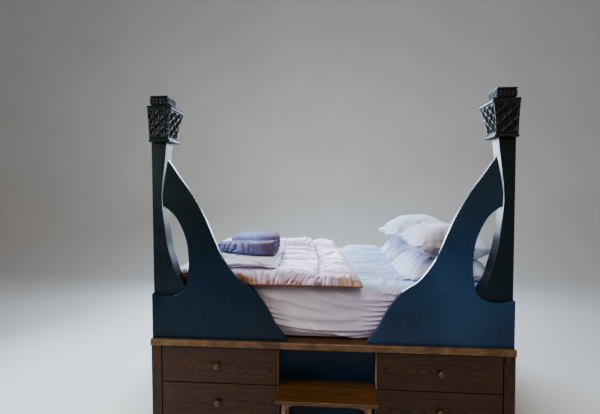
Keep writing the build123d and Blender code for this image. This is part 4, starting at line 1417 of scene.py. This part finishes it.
def case_flap(seam, length, seed, droop, gape):
    """Open end of a pillowcase beyond the pillow: two plies of cloth, a little apart."""
    line = spline(seam, 90)
    m = len(line)
    s = np.linspace(0, 1, m)[:, None]
    r = np.linspace(0, 1, 16)[None]
    reach = length * (0.80 + 0.20 * np.sin(np.pi * s)) * (1 + 0.10 * noise2(s * 5, 0.2, seed))
    wave = 0.010 * noise2(s * 6, r * 0.8, seed + 1) + 0.005 * noise2(s * 15, r * 1.4, seed + 2)
    open_ = gape * np.sin(np.pi * s) ** 0.7 * r ** 1.3 * (1 + 0.5 * noise2(s * 4, 0.7, seed + 5))
    out = []
    for sign in (1, -1):
        x = line[:, :1] + 0.006 - (reach + 0.006) * r
        y = line[:, 1:2] + 0.010 * r * (0.5 - s) * 2 * 0.6
        z = line[:, 2:3] - droop * r ** 1.4 * length + wave * r ** 0.8 + sign * (0.0016 + open_ / 2)
        z = np.maximum(z, 0.8905 + sign * 0.0012 + 0.4 * np.abs(wave))
        top = np.stack([x, y + 0 * r, z + 0.0008], -1)
        bot = np.stack([x, y + 0 * r, z - 0.0008], -1)
        out.append(lens_shell("flap", top, bot, np.stack([s * 0.7 + 0 * r, r * length + 0 * s], -1), [PILLOW_WHITE]))
    return out


def finish_pillow(o, node, seed, flap, droop, gape):
    """Finer mesh, small creases running in from the seam, a felled edge and the case's open end."""
    ring = np.array([o.data.vertices[i].co for i in o["ring"]])
    open_end = np.array([o.data.vertices[i].co for i in o["open_end"]])
    del o["ring"]
    del o["open_end"]
    add_modifier(o, "SUBSURF", levels=1, render_levels=1)
    bake_modifiers(o)
    me = o.data
    co = np.array([v.co for v in me.vertices])
    no = np.array([v.normal for v in me.vertices])
    uvl = me.uv_layers[0].data
    uv = np.zeros((len(co), 2))
    for lp in me.loops:
        uv[lp.vertex_index] = uvl[lp.index].uv
    half = np.abs(uv).max(0)
    ex, ey = half[0] - np.abs(uv[:, 0]), half[1] - np.abs(uv[:, 1])
    e = np.minimum(ex, ey)
    s = np.where(ex < ey, uv[:, 1], uv[:, 0])
    g = folds(s, e, seed, 0.042, 6.0, 1.2)
    d = 0.010 * (g - 0.45) * np.exp(-e / 0.050) * smooth(0.0, 0.014, e)
    d += 0.0034 * fractal(uv[:, 0] * 8 + seed, uv[:, 1] * 8, seed + 4, 3)
    rg = np.random.RandomState(seed)
    for k in range(7):
        # Slack folds running in from the open end and the corners.
        y0 = half[1] * (1.8 * rg.rand() - 0.9)
        x0 = -half[0] * (0.98 - 0.1 * rg.rand())
        dx, dy = 0.10 + 0.14 * rg.rand(), 0.16 * (rg.rand() - 0.5) - 0.25 * y0
        d += wrinkle(uv[:, 0], uv[:, 1], [(x0, y0), (x0 + dx / 2, y0 + dy * 0.4), (x0 + dx, y0 + dy)], 0.012 + 0.008 * rg.rand(), 0.006 + 0.004 * rg.rand(), 1.1, 0.4)
    me.vertices.foreach_set("co", (co + no * d[:, None]).astype(np.float32).ravel())
    me.update()
    parts = [o, tube(node + "_seam", ring, 0.0022, [PILLOW_WHITE], True, 6)] + case_flap(open_end[2:-2], flap, seed + 60, droop, gape)
    o = join(parts, node + "_body")
    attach(o, BED)
    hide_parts(node)
    return o


p1 = pillow("p1", "back_lower_pillow", (0.520, 0.700), (0.745, 1.205), 0.888, [ground], 11, pressure=5.6, fit=(0.889, 1.050))
p2 = pillow("p2", "front_lower_pillow", (0.515, 0.700), (0.74, 0.49), 0.888, [ground], 23, pressure=5.2, fit=(0.889, 1.035))
p3 = pillow("p3", "back_upper_pillow", (0.520, 0.700), (0.745, 1.205), 1.045, [p1, ground], 37, lean=(0.06, 0.0), pressure=5.8, press=0.5, bend=0.7, fit=(1.012, 1.224))
p4 = pillow("p4", "front_upper_pillow", (0.478, 0.690), (0.78, 0.485), 1.030, [p2, ground], 41, lean=(0.10, 0.02), pressure=5.8, press=0.5, bend=0.7, fit=(1.000, 1.207))
for o, node, seed, flap, droop, gape in ((p1, "back_lower_pillow", 3, 0.050, 0.9, 0.004), (p2, "front_lower_pillow", 5, 0.050, 1.0, 0.006), (p3, "back_upper_pillow", 7, 0.062, 0.15, 0.016), (p4, "front_upper_pillow", 9, 0.034, 0.25, 0.008)):
    finish_pillow(o, node, seed, flap, droop, gape)
drop_object(ground)
print("pillows done")


# ---------------------------------------------------------------- towels ----
def u_turn(y, za, zb, back, n=9):
    """Half circle from (y, za) to (y, zb), bulging to the back or the front."""
    r, c = abs(zb - za) / 2, (za + zb) / 2
    up = 1 if zb > za else -1
    return [(y + (r if back else -r) * math.sin(f), c - up * r * math.cos(f)) for f in np.linspace(0, math.pi, n)[1:-1]]


def nested_path(y0, y1, z0, z1, turns, radius):
    """Line (y, z) of a towel folded over at the front, with its layers inside each other."""
    t = (z1 - z0) / (2 * turns)
    pts = []
    for k in range(turns):
        o = t * (k + 0.5)
        low, high, yf, yb = z0 + o, z1 - o, y0 + o, y1 - t * 1.1
        r = min(max(radius - o, 0.004), (high - low) / 2)
        run = [(yb, low), (yf + r, low)]
        run += [(yf + r - r * math.sin(f), low + r - r * math.cos(f)) for f in np.linspace(0, math.pi / 2, 9)[1:]]
        run += [(yf + r - r * math.cos(f), high - r + r * math.sin(f)) for f in np.linspace(0, math.pi / 2, 9)]
        run += [(yb, high)]
        if k % 2:
            run = run[::-1]
        if pts:
            pts += u_turn(pts[-1][0], pts[-1][1], run[0][1], True)
        pts += run
    return pts, t


def folded_cloth(name, path, thick, x0, x1, warp, mats, seed, step=0.0062, cell=0.0075, ragged=0.010, crest=None, y_fine=0.32):
    """Strip of thick cloth that follows a folded line and is as wide as x0 to x1; warp moves all its points."""
    p = np.array(path)
    seg = np.linalg.norm(np.diff(p, axis=0), axis=1)
    p = p[np.concatenate([[True], seg > 1e-6])]
    s = np.concatenate([[0], np.cumsum(np.linalg.norm(np.diff(p, axis=0), axis=1))])
    fine = np.linspace(0, s[-1], 4000)
    gap = step * (0.45 + 0.95 * smooth(y_fine, y_fine + 0.06, np.interp(fine, s, p[:, 0])))
    count = np.concatenate([[0], np.cumsum(np.diff(fine) / gap[1:])])
    n = int(count[-1])
    at = np.interp(np.linspace(0, count[-1], n), count, fine)
    line = np.stack([np.interp(at, s, p[:, i]) for i in range(2)], 1)
    for _ in range(2):
        line[1:-1] = (line[:-2] + 2 * line[1:-1] + line[2:]) / 4
    tg = np.gradient(line, axis=0)
    tg /= np.linalg.norm(tg, axis=1)[:, None]
    nr = np.stack([-tg[:, 1], tg[:, 0]], 1)
    e = 0.008
    ds = np.array([0, 0.0006, 0.002, 0.0045, 0.008])
    xs = np.concatenate([x0 + ds, np.arange(x0 + e + cell, x1 - e - cell * 0.5, cell), (x1 - ds)[::-1]])
    full = np.sqrt(np.clip(1 - (1 - np.clip(np.minimum(xs - x0, x1 - xs) / e, 0, 1)) ** 2, 0.03, 1))
    half = thick / 2
    loops, uvs = [], []
    mid = (x0 + x1) / 2
    inset = ragged * (0.5 + 0.5 * noise2(at * 5.0, 0.3, seed)) , ragged * (0.5 + 0.5 * noise2(at * 5.0, 7.3, seed + 1))
    for x, f in zip(xs, full):
        h = half * f
        caps = []
        for q, sgn in ((n - 1, 1), (0, -1)):
            for w in (35, 0, -35) if sgn > 0 else (-35, 0, 35):
                a = math.radians(w)
                caps.append(line[q] + sgn * tg[q] * h * math.cos(a) + nr[q] * h * math.sin(a))
        outer, inner = line + nr * h, line - nr * h
        loop = np.vstack([outer, caps[:3], inner[::-1], caps[3:]])
        arc = np.concatenate([at, [at[-1]] * 3, at[::-1], [0] * 3])
        ins = np.interp(arc, at, inset[0]) if x < mid else -np.interp(arc, at, inset[1])
        w = abs(x - mid) / (x1 - mid)
        loops.append(np.column_stack([x + ins * w, loop]))
        uvs.append(np.column_stack([np.full(len(loop), x), arc]))
    loops, uvs = np.array(loops), np.array(uvs)
    tone = crest(loops) if crest else None
    loops = warp(loops)
    nx, nl = loops.shape[:2]
    i0 = (np.arange(nx - 1)[:, None] * nl + np.arange(nl)[None]).ravel()
    i1 = (np.arange(nx - 1)[:, None] * nl + (np.arange(nl)[None] + 1) % nl).ravel()
    faces = [tuple(f) for f in np.stack([i0, i1, i1 + nl, i0 + nl], -1)]
    for base in (0, (nx - 1) * nl):
        # outer point q is opposite inner point 2n + 2 - q
        for q in range(n - 1):
            faces.append((base + q, base + q + 1, base + 2 * n + 1 - q, base + 2 * n + 2 - q))
        faces.append((base + n - 1, base + n, base + n + 1, base + n + 2, base + n + 3))
        faces.append((base + 2 * n + 2, base + 2 * n + 3, base + 2 * n + 4, base + 2 * n + 5, base))
    loops[..., 1] -= MID
    o = outward(make_object(name, loops.reshape(-1, 3), faces, uvs.reshape(-1, 2), mats))
    if crest:
        o.data.attributes.new("crest", "FLOAT", "POINT").data.foreach_set("value", tone.ravel().astype(np.float32))
    return o


def rest_line(x):
    """Height of the folded bath sheet's top: fuller at the left."""
    return 1.008 + 0.030 * smooth(-0.40, -0.72, x)


SHEET_Z0, TOWEL_Z1 = 0.947, 1.102
# Soft folds of the bath sheet, on its front roll as (x, height) and on the slope above it as (x, depth): points, width, size.
ROLL_FOLDS = [
    ([(-0.80, 0.052), (-0.66, 0.040), (-0.52, 0.044)], 0.013, 0.014), ([(-0.60, 0.050), (-0.50, 0.034), (-0.40, 0.028)], 0.012, 0.013),
    ([(-0.74, 0.026), (-0.62, 0.018), (-0.52, 0.024)], 0.010, -0.010), ([(-0.54, 0.016), (-0.43, 0.020), (-0.335, 0.012)], 0.012, 0.013),
    ([(-0.47, 0.056), (-0.40, 0.048), (-0.33, 0.042)], 0.011, 0.011), ([(-0.70, 0.008), (-0.62, 0.010), (-0.55, 0.006)], 0.010, 0.012),
]
DIMPLES = [(-0.610, 0.42), (-0.405, 0.22)]
SLOPE_FOLDS = [
    ([(-0.80, 0.240), (-0.68, 0.262), (-0.56, 0.240), (-0.46, 0.228)], 0.013, 0.012), ([(-0.66, 0.216), (-0.56, 0.226), (-0.44, 0.212), (-0.34, 0.222)], 0.010, 0.010),
    ([(-0.56, 0.272), (-0.48, 0.250), (-0.40, 0.256), (-0.33, 0.240)], 0.012, 0.011), ([(-0.76, 0.215), (-0.72, 0.250), (-0.70, 0.280)], 0.010, 0.008),
    ([(-0.50, 0.210), (-0.44, 0.240), (-0.42, 0.268)], 0.010, -0.008), ([(-0.62, 0.214), (-0.60, 0.244), (-0.56, 0.266)], 0.009, 0.008),
]


def sheet_warp(c):
    x, y, z = c[..., 0].copy(), c[..., 1].copy(), c[..., 2].copy()
    h = np.clip((z - SHEET_Z0) / (1.008 - SHEET_Z0), 0, 1)
    front = smooth(0.31, 0.20, y)
    # Pressed flat under the towels, it slopes down to a soft roll at the front.
    rest = rest_line(x) - 0.002
    edge = 0.986 + 0.006 * noise2(x * 7, 1.0, 3)
    z = SHEET_Z0 + (z - SHEET_Z0) * (rest - (rest - edge) * smooth(0.315, 0.205, y) - SHEET_Z0) / (1.008 - SHEET_Z0)
    z += h * front * (0.0100 * noise2(x * 10 + y * 22, y * 9, 31) + 0.0065 * noise2(x * 26, y * 20, 33))
    z -= (1 - h) * front * 0.005 * (0.6 + noise2(x * 9, 5.0, 35))
    for pts, wide, high in ROLL_FOLDS:
        lump = 1.5 * front * wrinkle(x, h * 0.06, pts, wide, high, 1.1, 0.4)
        y, z = y - lump, z + 0.4 * h * lump
    for pts, wide, high in SLOPE_FOLDS:
        z = z + 1.4 * smooth(0.6, 1.0, h) * wrinkle(x, c[..., 1], pts, wide, high, 1.1, 0.4)
    z += 0.010 * smooth(-0.36, -0.32, x) * smooth(0.3, 0.9, y) * h
    z += h * 0.004 * noise2(x * 11, y * 8, 5) * smooth(0.24, 0.20, y)
    y = y + 0.012 * noise2(x * 6.5, h * 1.5, 7) * smooth(0.40, 0.22, y) + 0.006 * noise2(x * 17, h * 2.5, 9) * smooth(0.30, 0.22, y)
    # The roll is tucked in at two places.
    for at, low in DIMPLES:
        y = y + front * 0.012 * np.exp(-((x - at) / 0.018) ** 2) * np.exp(-((h - low) / 0.16) ** 2)
    y = y + 0.018 * smooth(-0.60, -0.85, x) * front
    x = x + (0.014 * noise2(y * 5.5, h * 1.5, 13) - 0.036 * smooth(0.45, 1.0, y)) * smooth(-0.5, -0.32, x) + 0.010 * noise2(y * 5, h * 1.2, 17) * smooth(-0.75, -0.85, x)
    return np.stack([x, y, z], -1)


def sheet_painted_shading(c):
    """Painted highlight and shade on the bath sheet's pile: pale along its soft folds, deeper just under them, deeper
    low on the front roll and in its two tucks.
    """
    x, y, z = c[..., 0], c[..., 1], c[..., 2]
    h = np.clip((z - SHEET_Z0) / (1.008 - SHEET_Z0), 0, 1)
    front, up = smooth(0.31, 0.20, y), smooth(0.6, 1.0, h)
    tone = np.zeros_like(x)
    for pts, wide, high in ROLL_FOLDS:
        tone += front * (0.7 * wrinkle(x, h * 0.06, pts, wide, 1.0, 1.1) - wrinkle(x, h * 0.06 + 0.013, pts, wide * 0.8, 1.0, 1.1)) * np.sign(high)
    for pts, wide, high in SLOPE_FOLDS:
        tone += up * (0.7 * wrinkle(x, y, pts, wide, 1.0, 1.1) - 0.9 * wrinkle(x, y + 0.012, pts, wide * 0.7, 1.0, 1.1)) * np.sign(high)
    tone -= front * 0.50 * smooth(0.60, 0.22, h + 0.10 * noise2(x * 9, 2.0, 43))
    for at, low in DIMPLES:
        tone -= 1.4 * front * np.exp(-((x - at) / 0.012) ** 2) * np.exp(-((h - low) / 0.10) ** 2)
    return np.clip(tone, -1, 1)


def ribs(x, h, seed):
    return np.abs(np.sin(np.pi * (x / 0.031 + 0.9 * noise2(x * 8, h * 1.3, seed) + 0.30 * noise2(x * 30, h * 3.0, seed + 3)))) ** 0.8


def towel_painted_shading(y_front, seed, strength=1.0):
    """Painted highlight and shade on the pile of a folded towel: from -1 between the ribs of its front to 1 on their
    crests; painted shade also low on the front, and a painted highlight along the top edge at the right.
    """
    def tone(c):
        x, y, z = c[..., 0], c[..., 1], c[..., 2]
        h = np.clip((z - 1.008) / (TOWEL_Z1 - 1.008), 0, 1)
        near = smooth(y_front + 0.045, y_front + 0.010, y)
        left = smooth(-0.42, -0.56, x)
        r = ribs(x, h, seed)
        top = smooth(0.62, 0.95, h)
        pale = near * strength * (left * smooth(0.45, 0.95, r) * (0.16 + 0.62 * top) * (0.8 + 0.5 * noise2(x * 14, h * 2.0, seed + 7)) + (1 - left) * smooth(0.84, 0.97, h) * (0.45 + 0.55 * smooth(-0.5, 0.4, noise2(x * 26, 2.0, seed + 8))))
        dark = near * strength * left * smooth(0.60, 0.10, r) * 0.8 + near * 0.35 * smooth(0.25, 0.0, h)
        return np.clip(pale - dark, -1, 1)
    return tone


def towel_warp(y_front, ripple, seed, peak, back_drop=0.006, narrow=0.04):
    def warp(c):
        x, y, z = c[..., 0].copy(), c[..., 1].copy(), c[..., 2].copy()
        h = np.clip((z - 1.008) / (TOWEL_Z1 - 1.008), 0, 1)
        base = rest_line(x) + 0.001
        z = base + (z - 1.008) * (TOWEL_Z1 - 0.004 - base) / (TOWEL_Z1 - 1.008)
        near = smooth(y_front + 0.09, y_front, y)
        left = smooth(-0.44, -0.56, x)
        r = ribs(x, h, seed)
        y = y - near * (ripple * (0.20 + 0.80 * left) * (0.8 + 0.5 * noise2(x * 13, 4.0, seed + 11)) * (r - 0.5) * (0.45 + 0.55 * np.sin(np.pi * np.clip(h, 0, 1))) + 0.006 * np.sin(np.pi * h))
        y = y + near * 0.006 * noise2(x * 5, h, seed + 2)
        z = z + h * (0.0045 * noise2(x * 8, y * 7, seed + 4) + 0.003 * noise2(x * 20, y * 16, seed + 5))
        # Dips along the top between the folds, the right front corner standing up a little.
        z = z - h * 0.012 * near * left * (1 - r)
        z = z + h * peak * np.exp(-((x + 0.345) / 0.022) ** 2) * near - h * 0.006 * smooth(-0.66, -0.73, x)
        z = z - h * (back_drop * smooth(y_front + 0.03, y_front + 0.33, y) + 0.004 * smooth(y_front + 0.16, y_front + 0.33, y))
        x = x + 0.007 * noise2(y * 7, h * 2.0, seed + 6) * smooth(0.1, 0.2, np.abs(x + 0.53))
        x = x - narrow * np.clip(y - y_front, 0, 1) * np.clip((x + 0.73) / 0.378, 0, 1)
        return np.stack([x, y, z], -1)
    return warp


path, t = nested_path(0.201, 1.045, SHEET_Z0, 1.008, 2, 0.028)
bath = folded_cloth("folded_sheet_body", path, t - 0.0012, -0.850, -0.314, sheet_warp, [TERRY_WHITE], 71, 0.0088, 0.0098, 0.014, crest=sheet_painted_shading)
path, t = nested_path(0.272, 0.600, 1.0085, 1.102, 3, 0.016)
towel_a = folded_cloth("front_towel_body", path, t - 0.0012, -0.712, -0.334, towel_warp(0.270, 0.034, 81, 0.012, 0.026), [TERRY_PLUM], 83, crest=towel_painted_shading(0.270, 81))
path, t = nested_path(0.668, 1.040, 1.0085, 1.102, 3, 0.024)
towel_b = folded_cloth("back_towel_body", path, t - 0.0012, -0.730, -0.352, towel_warp(0.664, 0.012, 91, 0.0, 0.006, 0.16), [TERRY_PLUM], 93, 0.0070, y_fine=0.72, crest=towel_painted_shading(0.664, 91, 0.3))
for o, nm, slot_name, flat, on in ((bath, "folded_sheet", "bath_sheet_terry", (1.07, 1.75), quilt), (towel_a, "front_towel", "towel_terry", (0.70, 1.30), bath), (towel_b, "back_towel", "towel_terry", (0.70, 1.30), bath)):
    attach(o, BED)
    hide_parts(nm)
    print(nm, len(o.data.polygons), "area/2", round(sum(f.area for f in o.data.polygons) / 2, 3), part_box(nm))
print("towels done")


# ----------------------------------------------------------------- stage ----
def stage_floor():
    n = Nodes("stage_pale")
    p = n.pos()
    col = n.ramp(n.noise(p, 0.8, 3, 0.5), [(0.3, lin(222, 221, 218)), (0.7, lin(228, 227, 225))])
    n.set(Base_Color=col, Roughness=0.75)
    w = 13.0
    prof = [(-12.0, 0.0), (3.2, 0.0)]
    for a in np.linspace(0, 90, 13)[1:]:
        prof.append((3.2 + 1.6 * math.sin(math.radians(a)), 1.6 - 1.6 * math.cos(math.radians(a))))
    prof.append((4.8, 7.0))
    verts = [(s * w, y, z) for y, z in prof for s in (-1, 1)]
    faces = [(2 * i, 2 * i + 1, 2 * i + 3, 2 * i + 2) for i in range(len(prof) - 1)]
    o = make_object("stage_sweep", verts, faces, None, [n.mat])


stage_floor()


def area(name, loc, target, size, power, colour=(1, 1, 1), size_y=None):
    d = bpy.data.lights.new(name, "AREA")
    d.energy = power
    d.color = colour
    d.size = size
    if size_y:
        d.shape = "RECTANGLE"
        d.size_y = size_y
    o = bpy.data.objects.new(name, d)
    scene.collection.objects.link(o)
    o.visible_camera = False
    o.location = loc
    o.rotation_mode = "QUATERNION"
    o.rotation_quaternion = (Vector(target) - Vector(loc)).to_track_quat("-Z", "Y")
    return o


area("key_back", (-0.5, 2.7, 3.4), (0.0, 0.1, 0.8), 1.8, 118, (0.64, 0.82, 1.0), 1.2)
area("low_back", (-0.3, 3.0, 1.72), (0.0, 0.0, 0.95), 1.8, 72, (0.72, 0.86, 1.0), 0.7)
area("key_left", (-2.8, -1.9, 2.1), (0.0, -0.3, 0.9), 0.9, 40, (0.86, 0.93, 1.0))
area("side_left", (-2.9, 0.05, 1.8), (0.4, -0.4, 0.95), 1.0, 31, (0.70, 0.85, 1.0))
area("top_front", (0.25, -1.75, 4.1), (0.0, -0.4, 0.7), 1.3, 46, (1.0, 0.93, 0.88))
area("fill_front", (0.7, -3.3, 3.3), (0.0, 0.0, 0.6), 2.4, 23, (1.0, 0.90, 0.84))
world = bpy.data.worlds.new("studio")
scene.world = world
world.use_nodes = True
bg = world.node_tree.nodes["Background"]
bg.inputs[0].default_value = (1.0, 0.96, 0.94, 1.0)
bg.inputs[1].default_value = 0.18
scene.view_settings.view_transform = "AgX"
scene.view_settings.look = "AgX - Medium High Contrast"
scene.view_settings.exposure = 0.15
